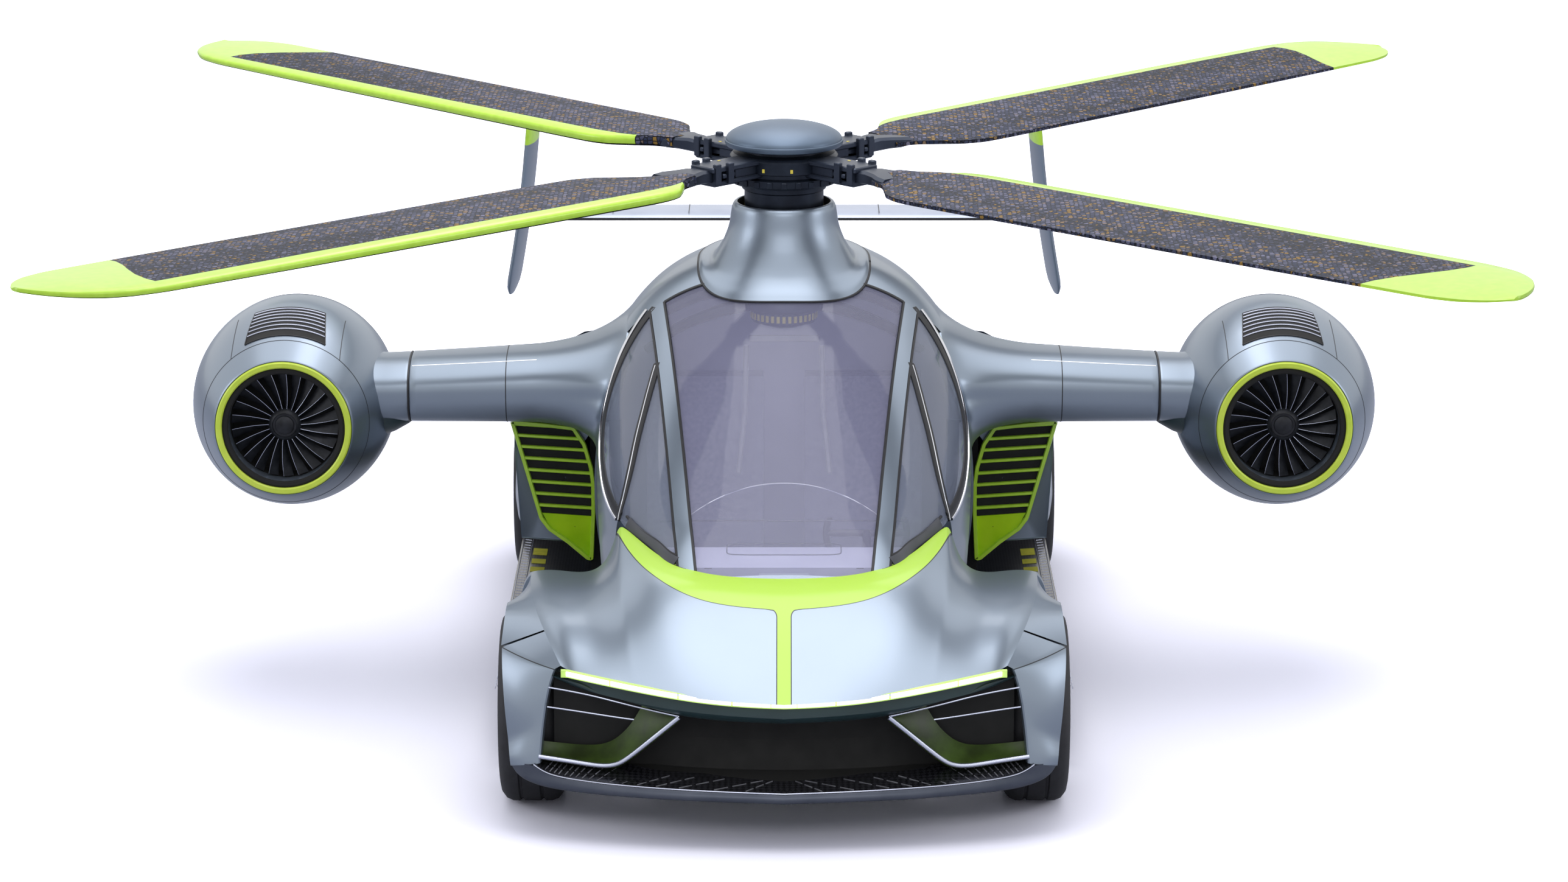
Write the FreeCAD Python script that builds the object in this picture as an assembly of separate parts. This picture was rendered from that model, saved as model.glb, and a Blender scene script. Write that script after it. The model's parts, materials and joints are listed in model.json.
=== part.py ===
import FreeCAD, Part
import math
import os

# A two-seat flying car: a road car with a four-blade rotor on a mast, two ducted fans on stub wings
# and a twin-fin tail. Millimetres. X is across (left side of the car at +X), the nose points to -Y,
# +Z is up. The origin is on the ground under the rotor mast.

# Driving dimensions: road wheels
front_axle_y = -1400.0
rear_axle_y = 1620.0
front_wheel_r = 340.0
front_tyre_width = 224.0
front_track_half = 890.0
rear_wheel_r = 355.0
rear_tyre_width = 290.0
rear_track_half = 965.0
tyre_side_height = 112.0
tyre_shoulder = 26.0
rim_barrel_wall = 14.0
rim_disc_inset = 26.0
rim_disc_thickness = 26.0
rim_spoke_count = 10
rim_window_inner_r = 78.0
rim_window_outer_margin = 22.0
rim_window_angle = 21.0
wheel_hub_r = 62.0
arch_clearance = 25.0
spindle_r = 25.0
fit_gap = 0.05
seat_gap = 0.3

# Driving dimensions: steering knuckle and suspension
knuckle_half_height = 90.0
knuckle_half_width = 34.0
knuckle_length = 72.0
kingpin_r = 13.0
kingpin_depth = 30.0
arm_width = 56.0
arm_thickness = 26.0
arch_inner_depth = 285.0

# Driving dimensions: cabin shell
cabin_wall = 34.0
glass_thickness = 8.0
glass_gap = 0.3
floor_z = 230.0
shut_gap = 10.0

# Cabin outer sections, nose to tail. Columns: y, floor half width, belt half width, belt height,
# shoulder half width, shoulder height, crown height
CABIN = [
    (-1385.0, 290.0, 332.0, 560.0, 318.0, 784.0, 798.0),
    (-1170.0, 400.0, 478.0, 700.0, 430.0, 905.0, 985.0),
    (-946.0, 500.0, 598.0, 780.0, 500.0, 1050.0, 1172.0),
    (-650.0, 570.0, 668.0, 860.0, 520.0, 1240.0, 1392.0),
    (-350.0, 600.0, 696.0, 920.0, 522.0, 1400.0, 1556.0),
    (0.0, 610.0, 712.0, 960.0, 518.0, 1524.0, 1690.0),
    (500.0, 600.0, 700.0, 920.0, 470.0, 1490.0, 1650.0),
    (1100.0, 520.0, 560.0, 850.0, 320.0, 1300.0, 1430.0),
    (1600.0, 400.0, 400.0, 760.0, 190.0, 1160.0, 1250.0),
]
cabin_rear_y = 620.0
bulkhead_thickness = 30.0
belt_split = [(-1500.0, 790.0), (-1300.0, 815.0), (-940.0, 885.0), (-420.0, 1010.0), (2000.0, 1010.0)]

# Windscreen, quarter glass and door glass outlines
windscreen_foot_y = -1372.0
windscreen_head_y = -112.0
windscreen_foot_half = 312.0
windscreen_head_half = 452.0
pillar_foot_width = 62.0
pillar_head_width = 50.0
glass_bottom_z = 600.0

# Door outline in side view. Columns: y, z
DOOR = [
    (-955.0, 395.0), (-955.0, 850.0), (-905.0, 905.0), (-350.0, 1385.0), (-125.0, 1440.0),
    (-135.0, 1345.0), (-300.0, 1190.0), (-385.0, 1020.0), (-120.0, 985.0), (-75.0, 930.0), (-75.0, 395.0),
]
DOOR_GLASS = [
    (-868.0, 915.0), (-352.0, 1352.0), (-165.0, 1398.0), (-172.0, 1352.0), (-328.0, 1205.0),
    (-418.0, 1040.0), (-640.0, 948.0),
]
QUARTER_GLASS = [(-1345.0, 818.0), (-935.0, 905.0), (-372.0, 1392.0), (-330.0, 1600.0), (-1345.0, 1600.0)]
door_hinge_x = 580.0
door_hinge_y = -962.0
door_hinge_heights = (590.0, 790.0)
hinge_pin_r = 7.0
hinge_barrel_r = 14.0
hinge_barrel_length = 40.0
hinge_lug_thickness = 14.0
hinge_lug_r = 12.0
hinge_pocket_gap = 6.0
hinge_leaf_length = 45.0
hinge_arm_reach = 44.0
hinge_arm_back = 40.0
# Radius about the hinge line that the front edge of the door sweeps, with its clearance
door_sweep_r = 25.0

# Driving dimensions: mast, rotor and hub
mast_r = 62.0
collar_r = 193.0
collar_z = 1876.0
collar_bore_r = 172.0
drum_r = 149.0
drum_bottom_z = 1800.0
drum_top_z = 1958.0
hub_plate_r = 205.0
hub_plate_bottom_z = 1958.0
hub_plate_top_z = 2080.0
cap_edge_r = 224.0
cap_bottom_z = 2096.0
cap_edge_z = 2124.0
cap_top_z = 2187.0
blade_count = 4
first_blade_deg = 45.0
blade_tip_r = 3470.0
blade_root_r = 540.0
blade_full_chord_r = 860.0
blade_chord = 505.0
blade_root_chord = 150.0
blade_thickness = 44.0
blade_tip_round = 190.0
blade_cone_deg = 0.45
hub_plane_z = 2040.0
grip_inner_r = 190.0
grip_outer_r = 470.0
grip_width = 122.0
grip_height = 74.0
arm_root_width = 92.0

# Fairing round the mast. Columns: z, half width, front reach, rear reach
FAIRING = [
    (1876.0, 193.0, 193.0, 193.0),
    (1780.0, 218.0, 226.0, 250.0),
    (1700.0, 262.0, 285.0, 360.0),
    (1630.0, 315.0, 350.0, 500.0),
    (1530.0, 350.0, 372.0, 620.0),
]
fairing_clearance = 6.0

# Driving dimensions: ducted fans on the stub wings
pod_x = 1862.0
pod_z = 1103.0
pod_front_y = -400.0
pod_rear_y = 560.0
pod_max_r = 384.0
pod_lip_r = 262.0
pod_exit_r = 246.0
pod_bore_r = 207.0
ring_outer_r = 254.0
ring_inner_r = 228.0
ring_depth = 14.0
fan_y = -352.0
fan_depth = 44.0
fan_hub_r = 62.5
fan_tip_gap = 7.0
fan_vane_count = 22
fan_vane_thickness = 5.0
fan_shaft_r = 18.0
stator_y = -250.0
stator_length = 330.0
stator_r = 58.0
stator_strut_count = 5
stator_strut_thickness = 14.0
stator_strut_length = 150.0

# Stub wing sections, root to tip. Columns: x, leading edge y, trailing edge y, underside z, top z
WING = [
    (560.0, -238.0, 345.0, 1018.0, 1350.0),
    (830.0, -222.0, 262.0, 1042.0, 1327.0),
    (1180.0, -212.0, 236.0, 1046.0, 1306.0),
    (1440.0, -205.0, 215.0, 1047.0, 1292.0),
]
pylon_outer_x = 1560.0

# Driving dimensions: tail
boom_start_y = 1380.0
boom_end_y = 2300.0
boom_start_z = 1105.0
boom_end_z = 1390.0
boom_start_r = 130.0
boom_end_r = 62.0
stab_half_span = 1100.0
stab_front_y = 2075.0
stab_rear_y = 2345.0
stab_z = 1392.0
stab_thickness = 34.0
# The fins lean inwards to the top, and cross the stabiliser near its ends
fin_lean = 50.0
fin_top_x = stab_half_span - fin_lean
fin_bottom_x = stab_half_span + fin_lean
fin_top_z = 1830.0
fin_bottom_z = 1050.0
fin_thickness = 26.0
fin_top_chord = 190.0
fin_mid_chord = 330.0
fin_bottom_chord = 200.0

# Front body sections. Columns: y, centre z, inner x, inner z, fender x, fender z, side x, side z,
# sill x
FRONT = [
    (-985.0, 1090.0, 640.0, 770.0, 830.0, 738.0, 958.0, 640.0, 945.0),
    (-1200.0, 905.0, 600.0, 768.0, 850.0, 752.0, 985.0, 650.0, 975.0),
    (-1400.0, 800.0, 560.0, 745.0, 850.0, 756.0, 1000.0, 640.0, 985.0),
    (-1650.0, 692.0, 540.0, 684.0, 810.0, 712.0, 990.0, 600.0, 975.0),
    (-1860.0, 598.0, 520.0, 608.0, 770.0, 628.0, 960.0, 540.0, 950.0),
    (-2060.0, 520.0, 500.0, 535.0, 740.0, 548.0, 930.0, 470.0, 925.0),
]
front_floor_z = 252.0
nose_y = -2030.0
nose_corner_x = 985.0
nose_corner_y = -1792.0
nose_overlap = 40.0
lip_front_y = -2092.0
lip_corner_x = 985.0
lip_corner_y = -1815.0
lip_rear_y = -1795.0
lip_bottom_z = 178.0
lip_top_z = front_floor_z
bar_stand_off = 8.0
bar_height = 15.0
bar_half = 780.0
bar_centre_z = 530.0
bar_end_z = 592.0

# Front intakes in front view. Columns: x, z
CENTRE_INTAKE = [(-365.0, 432.0), (365.0, 432.0), (560.0, front_floor_z - 5.0), (-560.0, front_floor_z - 5.0)]
SIDE_INTAKE = [(412.0, 440.0), (700.0, 520.0), (815.0, 545.0), (842.0, 290.0), (600.0, 290.0)]
centre_intake_back_y = -1560.0
side_intake_back_y = -1812.0

# Rear body sections. Columns: y, deck centre z, deck edge x, deck edge z, side x, side z, sill x
REAR = [
    (40.0, 1060.0, 900.0, 1046.0, 1042.0, 1020.0, 748.0),
    (330.0, 1060.0, 900.0, 1040.0, 1046.0, 940.0, 930.0),
    (900.0, 1060.0, 880.0, 1030.0, 1080.0, 860.0, 1020.0),
    (1620.0, 1050.0, 880.0, 985.0, 1128.0, 800.0, 1100.0),
    (2080.0, 940.0, 820.0, 900.0, 1085.0, 780.0, 1030.0),
]
rear_floor_z = 300.0
tail_y = 2120.0
tail_corner_x = 1090.0
tail_corner_y = 1985.0

# Louvre panel outline in front view. Columns: x, z
LOUVRE = [(772.0, 1020.0), (1020.0, 1028.0), (915.0, 640.0), (850.0, 545.0), (755.0, 455.0), (752.0, 900.0)]
louvre_thickness = 24.0
louvre_y = REAR[0][0] - louvre_thickness
louvre_slots = 8
louvre_slot_pitch = 47.0
louvre_slot_height = 31.0
louvre_top_z = 992.0
louvre_border = 24.0

# Side steps, floor, power pack and cabin furniture
step_outer_x = 1070.0
step_front_y = -960.0
step_rear_y = 1180.0
step_bottom_z = 205.0
step_top_z = 243.0
pan_thickness = 26.0
pan_half_width = 560.0
pan_front_y = -1460.0
pan_rear_y = 1720.0
cross_length = 120.0
jack_socket_r = 15.0
jack_socket_depth = 30.0
jack_front_x = 500.0
jack_rear_x = 560.0
pack_half_width = 330.0
pack_front_y = 760.0
pack_rear_y = 1250.0
pack_bottom_z = 300.0
pack_top_z = 820.0
pack_cavity_gap = 30.0
seat_x = 305.0
seat_half_width = 225.0
seat_front_y = -330.0
seat_rear_y = 190.0
seat_top_z = 480.0
seat_back_top_z = 1130.0
dash_front_y = -1240.0
dash_rear_y = -968.0
dash_bottom_z = 600.0
dash_top_z = 800.0
column_length = 380.0
column_r = 16.0
column_tilt_deg = 14.0
column_z = 660.0
yoke_r = 150.0
yoke_grip_r = 13.0
gearbox_r = 152.0
gearbox_bottom_z = 1440.0
gearbox_top_z = 1600.0
gearbox_arm_deg = 40.0
gearbox_arm_half = 38.0
gearbox_arm_depth = 55.0
gearbox_arm_drop = 40.0
mast_sleeve_wall = 40.0
mast_sleeve_top_z = 1756.0
mast_bottom_z = 1560.0

# A length past the whole car, for cuts that go right through
far = 2600.0

OUT = "parts"


def vec(x, y, z):
    return FreeCAD.Vector(x, y, z)


def wire(points):
    return Part.makePolygon(points + [points[0]])


def prism_x(outline, x0, x1):
    face = Part.Face(wire([vec(x0, y, z) for y, z in outline]))
    return face.extrude(vec(x1 - x0, 0, 0))


def prism_y(outline, y0, y1):
    face = Part.Face(wire([vec(x, y0, z) for x, z in outline]))
    return face.extrude(vec(0, y1 - y0, 0))


def prism_z(outline, z0, z1):
    face = Part.Face(wire([vec(x, y, z0) for x, y in outline]))
    return face.extrude(vec(0, 0, z1 - z0))


def block(x0, x1, y0, y1, z0, z1):
    return Part.makeBox(x1 - x0, y1 - y0, z1 - z0, vec(x0, y0, z0))


def rod_x(x0, x1, y, z, r):
    return Part.makeCylinder(r, x1 - x0, vec(x0, y, z), vec(1, 0, 0))


def rod_y(x, y0, y1, z, r):
    return Part.makeCylinder(r, y1 - y0, vec(x, y0, z), vec(0, 1, 0))


def rod_z(x, y, z0, z1, r):
    return Part.makeCylinder(r, z1 - z0, vec(x, y, z0), vec(0, 0, 1))


def mirrored(shape):
    return shape.mirror(vec(0, 0, 0), vec(1, 0, 0))


def both(shape):
    """A solid and its mirror image on the other side of the car."""
    return [shape, mirrored(shape)]


def turned(points, centre, axis):
    """Solid of revolution of a closed outline of points."""
    return Part.Face(wire(points)).revolve(centre, axis, 360)


def inset_outline(outline, gap):
    """The outline moved inwards by gap, or outwards when gap is negative."""
    face = Part.Face(wire([vec(a, b, 0) for a, b in outline]))
    moved = face.makeOffset2D(-gap, 2)
    return [(v.X, v.Y) for v in moved.OuterWire.OrderedVertexes]


def solids_of(*shapes):
    found = []
    for shape in shapes:
        found += shape.Solids
    return found


def save(name, *shapes):
    solids = solids_of(*shapes)
    made = solids[0] if len(solids) == 1 else Part.makeCompound(solids)
    made.exportStep(os.path.join(OUT, name + ".step"))
    box = made.BoundBox
    print(name, len(solids), "valid" if made.isValid() else "NOT VALID",
          [round(v) for v in (box.XMin, box.YMin, box.ZMin, box.XMax, box.YMax, box.ZMax)],
          round(sum(s.Volume for s in solids) / 1e6, 2), "litres")


def cabin_section(row, inset):
    """Closed cabin section: floor line, two side arcs and one arc over the crown."""
    y, floor_half, belt_half, belt_z, shoulder_half, shoulder_z, crown_z = row
    base = floor_z + inset
    fw, bw, sw = floor_half - inset, belt_half - inset, shoulder_half - 0.8 * inset
    sz, cz = shoulder_z - 0.6 * inset, crown_z - inset
    floor = Part.makeLine(vec(-fw, y, base), vec(fw, y, base))
    left = Part.Arc(vec(fw, y, base), vec(bw, y, belt_z), vec(sw, y, sz)).toShape()
    top = Part.Arc(vec(sw, y, sz), vec(0, y, cz), vec(-sw, y, sz)).toShape()
    right = Part.Arc(vec(-sw, y, sz), vec(-bw, y, belt_z), vec(-fw, y, base)).toShape()
    return Part.Wire([floor, left, top, right])


def cabin_solid(inset):
    rows = list(CABIN)
    if inset:
        first, last = rows[0], rows[-1]
        rows[0] = (first[0] + inset,) + first[1:]
        rows[-1] = (last[0] - inset,) + last[1:]
    return Part.makeLoft([cabin_section(row, inset) for row in rows], True, False)


def wheel(x, y, r, width, side):
    """Tyre and rim about an axis along X. side is 1 where the outer face points to +X."""
    half = width / 2
    rim_r = r - tyre_side_height
    tyre_points = [(-half + tyre_shoulder, rim_r), (-half, rim_r + tyre_shoulder), (-half, r - tyre_shoulder),
                   (-half + tyre_shoulder, r), (half - tyre_shoulder, r), (half, r - tyre_shoulder),
                   (half, rim_r + tyre_shoulder), (half - tyre_shoulder, rim_r)]
    tyre = turned([vec(x + a, y, r + b) for a, b in tyre_points], vec(x, y, r), vec(1, 0, 0))
    barrel_half = half - tyre_shoulder
    barrel_r = rim_r - rim_barrel_wall
    disc_out = half - rim_disc_inset
    disc_in = disc_out - rim_disc_thickness
    rim_points = [(-barrel_half, rim_r), (barrel_half, rim_r), (barrel_half, barrel_r), (disc_out, barrel_r),
                  (disc_out, spindle_r + fit_gap), (disc_in - 20.0, spindle_r + fit_gap),
                  (disc_in - 20.0, wheel_hub_r), (disc_in, wheel_hub_r), (disc_in, barrel_r),
                  (-barrel_half, barrel_r)]
    rim = turned([vec(x + side * a, y, r + b) for a, b in rim_points], vec(x, y, r), vec(1, 0, 0))
    window_outer_r = barrel_r - rim_window_outer_margin
    half_angle = math.radians(rim_window_angle / 2)
    outline = []
    for radius, sign in ((rim_window_inner_r, -1), (window_outer_r, -1), (window_outer_r, 1),
                         (rim_window_inner_r, 1)):
        outline.append((y + radius * math.sin(sign * half_angle), r + radius * math.cos(half_angle)))
    window = prism_x(outline, x - 2 * half, x + 2 * half)
    for index in range(rim_spoke_count):
        turned_window = window.copy()
        turned_window.rotate(vec(x, y, r), vec(1, 0, 0), index * 360.0 / rim_spoke_count)
        if index == 0:
            windows = turned_window
        else:
            windows = windows.fuse(turned_window)
    return tyre, rim.cut(windows), disc_in - 20.0


def wheels():
    """Four road wheels, the steered knuckles, the rear carriers and the suspension arms."""
    corners = [("front_left", 1, front_track_half, front_axle_y, front_wheel_r, front_tyre_width),
               ("front_right", -1, front_track_half, front_axle_y, front_wheel_r, front_tyre_width),
               ("rear_left", 1, rear_track_half, rear_axle_y, rear_wheel_r, rear_tyre_width),
               ("rear_right", -1, rear_track_half, rear_axle_y, rear_wheel_r, rear_tyre_width)]
    carriers = []
    arms = []
    for name, side, track, y, r, width in corners:
        x = side * track
        tyre, rim, hub_in = wheel(x, y, r, width, side)
        save("tyre_" + name, tyre)
        save("rim_" + name, rim)
        face_x = hub_in - seat_gap
        start = face_x - knuckle_length
        upright = block(start, face_x, y - knuckle_half_width, y + knuckle_half_width,
                        r - knuckle_half_height, r + knuckle_half_height)
        upright.translate(vec(track, 0, 0))
        spindle = rod_x(track + face_x - 10.0, track + hub_in + 20.0 + rim_disc_thickness, y, r, spindle_r)
        carrier = upright.fuse(spindle)
        pin_x = track + face_x - knuckle_length / 2
        for sign in (1, -1):
            z = r + sign * knuckle_half_height
            inner = z - sign * kingpin_depth
            carrier = carrier.cut(rod_z(pin_x, y, min(z, inner) - 1.0, max(z, inner) + 1.0, kingpin_r + fit_gap))
            arm_z0 = z + seat_gap if sign > 0 else z - seat_gap - arm_thickness
            arm = block(track - arch_inner_depth, pin_x + 0.9 * arm_width / 2, y - arm_width / 2,
                        y + arm_width / 2, arm_z0, arm_z0 + arm_thickness)
            pin = rod_z(pin_x, y, min(inner + sign * 1.0, arm_z0), max(inner + sign * 1.0, arm_z0 + 1.0), kingpin_r)
            arms.append(arm.fuse(pin) if side > 0 else mirrored(arm.fuse(pin)))
        made = carrier if side > 0 else mirrored(carrier)
        if y < 0:
            save("knuckle_" + name.split("_")[1], made)
        else:
            carriers.append(made)
    save("rear_hub_carriers", *carriers)
    save("suspension_arms", *arms)


def arches():
    """The spaces round the four wheels, swept by the steered pair."""
    spaces = []
    for track, y, r, width in ((front_track_half, front_axle_y, front_wheel_r, front_tyre_width),
                               (rear_track_half, rear_axle_y, rear_wheel_r, rear_tyre_width)):
        cut = rod_x(track - arch_inner_depth, track + width * 2, y, r, r + arch_clearance)
        spaces += both(cut)
    return spaces


def cut_all(shape, tools):
    for tool in tools:
        shape = shape.cut(tool)
    return shape


def front_section(row):
    y, cz, ix, iz, fx, fz, sx, sz, wx = row
    pts = [vec(-wx, y, front_floor_z), vec(wx, y, front_floor_z), vec(sx, y, sz), vec(ix, y, iz),
           vec(-ix, y, iz), vec(-sx, y, sz)]
    edges = [Part.makeLine(pts[0], pts[1]), Part.makeLine(pts[1], pts[2]),
             Part.Arc(pts[2], vec(fx, y, fz), pts[3]).toShape(),
             Part.Arc(pts[3], vec(0, y, cz), pts[4]).toShape(),
             Part.Arc(pts[4], vec(-fx, y, fz), pts[5]).toShape(), Part.makeLine(pts[5], pts[0])]
    return Part.Wire(edges)


def bow(corner_x, corner_y, front_y, back_y, z0, z1):
    """A slab whose front is one arc in plan from corner to corner."""
    arc = Part.Arc(vec(-corner_x, corner_y, z0), vec(0, front_y, z0), vec(corner_x, corner_y, z0)).toShape()
    right = vec(corner_x, back_y, z0)
    left = vec(-corner_x, back_y, z0)
    outline = Part.Wire([arc, Part.makeLine(vec(corner_x, corner_y, z0), right), Part.makeLine(right, left),
                         Part.makeLine(left, vec(-corner_x, corner_y, z0))])
    return Part.Face(outline).extrude(vec(0, 0, z1 - z0))


def door_sweep():
    """Space about the left hinge line that the front edge of the door turns through."""
    return rod_z(door_hinge_x, door_hinge_y, DOOR[0][1] - shut_gap, DOOR[2][1], door_sweep_r)


def front_body(cabin):
    clip = Part.makeLoft([front_section(row) for row in FRONT], True, False)
    clip = clip.common(bow(nose_corner_x + nose_overlap, nose_corner_y, nose_y, 0.0, 0.0, far))
    clip = cut_all(clip, arches() + [cabin])
    clip = clip.cut(prism_y(CENTRE_INTAKE, -far, centre_intake_back_y))
    duct = prism_y(SIDE_INTAKE, -far, side_intake_back_y)
    clip = cut_all(clip, both(duct) + both(door_sweep()))
    save("front_body", clip)
    lip = bow(lip_corner_x, lip_corner_y, lip_front_y, lip_rear_y, lip_bottom_z, lip_top_z)
    save("front_splitter", lip)
    bar = bow(nose_corner_x + nose_overlap, nose_corner_y - bar_stand_off,
              nose_y - bar_stand_off, 0.0, 0.0, far)
    inner = bow(nose_corner_x + nose_overlap, nose_corner_y, nose_y, 0.0, -1.0, far + 1.0)
    band = [(-bar_half, bar_end_z), (0.0, bar_centre_z), (bar_half, bar_end_z),
            (bar_half, bar_end_z + bar_height), (0.0, bar_centre_z + bar_height), (-bar_half, bar_end_z + bar_height)]
    save("light_bar", bar.cut(inner).common(prism_y(band, -far, lip_rear_y + 300.0)))
    return clip


def rear_section(row):
    y, cz, ex, ez, sx, sz, wx = row
    pts = [vec(-wx, y, rear_floor_z), vec(wx, y, rear_floor_z), vec(sx, y, sz), vec(ex, y, ez),
           vec(-ex, y, ez), vec(-sx, y, sz)]
    edges = [Part.makeLine(pts[0], pts[1]), Part.makeLine(pts[1], pts[2]), Part.makeLine(pts[2], pts[3]),
             Part.Arc(pts[3], vec(0, y, cz), pts[4]).toShape(), Part.makeLine(pts[4], pts[5]),
             Part.makeLine(pts[5], pts[0])]
    return Part.Wire(edges)


def rear_body(cabin):
    haunches = Part.makeLoft([rear_section(row) for row in REAR], True, False)
    outline = Part.Arc(vec(-tail_corner_x, tail_corner_y, 0), vec(0, tail_y, 0), vec(tail_corner_x, tail_corner_y, 0))
    front = [vec(tail_corner_x, tail_corner_y, 0), vec(far, tail_corner_y, 0), vec(far, -far, 0),
             vec(-far, -far, 0), vec(-far, tail_corner_y, 0), vec(-tail_corner_x, tail_corner_y, 0)]
    edges = [outline.toShape()] + [Part.makeLine(front[i], front[i + 1]) for i in range(len(front) - 1)]
    haunches = haunches.common(Part.Face(Part.Wire(edges)).extrude(vec(0, 0, far)))
    haunches = cut_all(haunches, arches() + [cabin])
    save("rear_body", haunches)
    return haunches


def louvres():
    """Slatted intake panels on the front of the rear haunches."""
    panel = prism_y(LOUVRE, louvre_y, louvre_y + louvre_thickness)
    inner = inset_outline(LOUVRE, louvre_border)
    hole = prism_y(inner, louvre_y - 1.0, louvre_y + louvre_thickness + 1.0)
    for index in range(louvre_slots):
        top = louvre_top_z - index * louvre_slot_pitch
        slot = block(0.0, far, louvre_y - 1.0, louvre_y + louvre_thickness + 1.0, top - louvre_slot_height, top)
        panel = panel.cut(slot.common(hole))
    return panel


def plan_prism(half_foot, half_head, foot_y, head_y):
    outline = [(-half_foot, foot_y), (half_foot, foot_y), (half_head, head_y), (-half_head, head_y)]
    return prism_z(outline, glass_bottom_z, far)


def hinged(door, shell, wall):
    """Two hinges: a sleeve on the door turns on a pin that stands on a lug of the cabin."""
    hx, hy = door_hinge_x, door_hinge_y
    shell = cut_all(shell, both(door_sweep()))
    for z in door_hinge_heights:
        lug_z = z - seat_gap - hinge_lug_thickness
        top = z + hinge_barrel_length
        pocket = rod_z(hx, hy, lug_z - hinge_pocket_gap, top + hinge_pocket_gap, hinge_barrel_r + hinge_pocket_gap)
        leaf = block(hx - hinge_lug_r, hx + 0.7 * hinge_lug_r, hy, hy + hinge_leaf_length, z, top)
        sleeve = rod_z(hx, hy, z, top, hinge_barrel_r).fuse(leaf)
        door = door.cut(pocket).fuse(sleeve).cut(rod_z(hx, hy, z - 1.0, top + 1.0, hinge_pin_r + fit_gap))
        arm = block(hx - hinge_arm_reach, hx + 0.5 * hinge_lug_r, hy - hinge_arm_back, hy, lug_z, z - seat_gap)
        arm = arm.common(wall)
        pin = rod_z(hx, hy, lug_z, top, hinge_pin_r)
        lug = rod_z(hx, hy, lug_z, z - seat_gap, hinge_lug_r).fuse(arm).fuse(pin)
        shell = cut_all(shell, both(pocket))
        for made in both(lug):
            shell = shell.fuse(made)
    return door, shell


def cabin_parts(cabin):
    inner = cabin_solid(cabin_wall)
    glass_inner = cabin_solid(glass_thickness)
    front_part = block(-far, far, -far, cabin_rear_y, 0.0, far)
    shell = cabin.cut(inner).common(front_part)
    glass = cabin.cut(glass_inner)
    screen_hole = plan_prism(windscreen_foot_half, windscreen_head_half, windscreen_foot_y, windscreen_head_y)
    screen = plan_prism(windscreen_foot_half - glass_gap, windscreen_head_half - glass_gap,
                        windscreen_foot_y + glass_gap, windscreen_head_y - glass_gap)
    fairing_hole = fairing_outer(fairing_clearance)
    save("windscreen", glass.common(screen).cut(fairing_hole))
    shell = shell.cut(screen_hole)
    side_keep = prism_z([(windscreen_foot_half + pillar_foot_width, windscreen_foot_y),
                         (far, windscreen_foot_y), (far, far),
                         (windscreen_head_half + pillar_head_width, far),
                         (windscreen_head_half + pillar_head_width, windscreen_head_y)], 0.0, far)
    side_keep_in = prism_z([(windscreen_foot_half + pillar_foot_width + glass_gap, windscreen_foot_y + glass_gap),
                            (far, windscreen_foot_y + glass_gap), (far, far),
                            (windscreen_head_half + pillar_head_width + glass_gap, far),
                            (windscreen_head_half + pillar_head_width + glass_gap, windscreen_head_y)],
                           0.0, far)
    quarter_hole = prism_x(inset_outline(QUARTER_GLASS, 0.0), 0.0, far).common(side_keep)
    quarter = prism_x(inset_outline(QUARTER_GLASS, glass_gap), 0.0, far).common(side_keep_in)
    save("quarter_glass", *both(glass.common(quarter)))
    shell = cut_all(shell, both(quarter_hole))
    door_hole = prism_x(inset_outline(DOOR, -shut_gap), 0.0, far).common(side_keep)
    door_space = prism_x(DOOR, 0.0, far).common(side_keep_in)
    door = shell.common(door_space)
    pane_hole = prism_x(DOOR_GLASS, 0.0, far).common(side_keep_in)
    pane = prism_x(inset_outline(DOOR_GLASS, glass_gap), 0.0, far).common(side_keep_in)
    door = door.cut(pane_hole)
    door_pane = glass.common(pane)
    shell = cut_all(shell, both(door_hole))
    shell = shell.cut(rod_z(0, 0, gearbox_bottom_z, collar_z, mast_r + mast_sleeve_wall))
    door, shell = hinged(door, shell, cabin.cut(inner))
    save("door_left", door)
    save("door_right", mirrored(door))
    save("door_glass_left", door_pane)
    save("door_glass_right", mirrored(door_pane))
    belt = prism_x([(-far, 0.0), (-far, belt_split[0][1])] + belt_split[1:] + [(far, belt_split[-1][1]), (far, 0.0)],
                   -far, far)
    save("cabin_tub", shell.common(belt))
    save("roof_frame", shell.cut(belt))
    tail = cabin.common(block(-far, far, cabin_rear_y, far, 0.0, far))
    cavity = block(-pack_half_width - pack_cavity_gap, pack_half_width + pack_cavity_gap,
                   pack_front_y - pack_cavity_gap, pack_rear_y + pack_cavity_gap,
                   pack_bottom_z, pack_top_z + pack_cavity_gap)
    save("motor_cowl", tail.cut(cavity))
    save("power_pack", block(-pack_half_width, pack_half_width, pack_front_y, pack_rear_y, pack_bottom_z, pack_top_z))
    save("bulkhead", inner.common(block(-far, far, cabin_rear_y - bulkhead_thickness, cabin_rear_y, 0.0, far)))


def fairing_section(row, inset):
    """Closed plan section: a half ellipse forward and a longer one behind, as four arcs."""
    z, half, front, rear = row
    half, front, rear = half - inset, front - inset, rear - inset
    d = math.sqrt(0.5)
    pts = [(half, 0), (half * d, -front * d), (0, -front), (-half * d, -front * d), (-half, 0),
           (-half * d, rear * d), (0, rear), (half * d, rear * d)]
    p = [vec(a, b, z) for a, b in pts]
    edges = [Part.Arc(p[0], p[1], p[2]).toShape(), Part.Arc(p[2], p[3], p[4]).toShape(),
             Part.Arc(p[4], p[5], p[6]).toShape(), Part.Arc(p[6], p[7], p[0]).toShape()]
    return Part.Wire(edges)


def fairing_outer(grow):
    return Part.makeLoft([fairing_section(row, -grow) for row in FAIRING], True, False)


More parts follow.
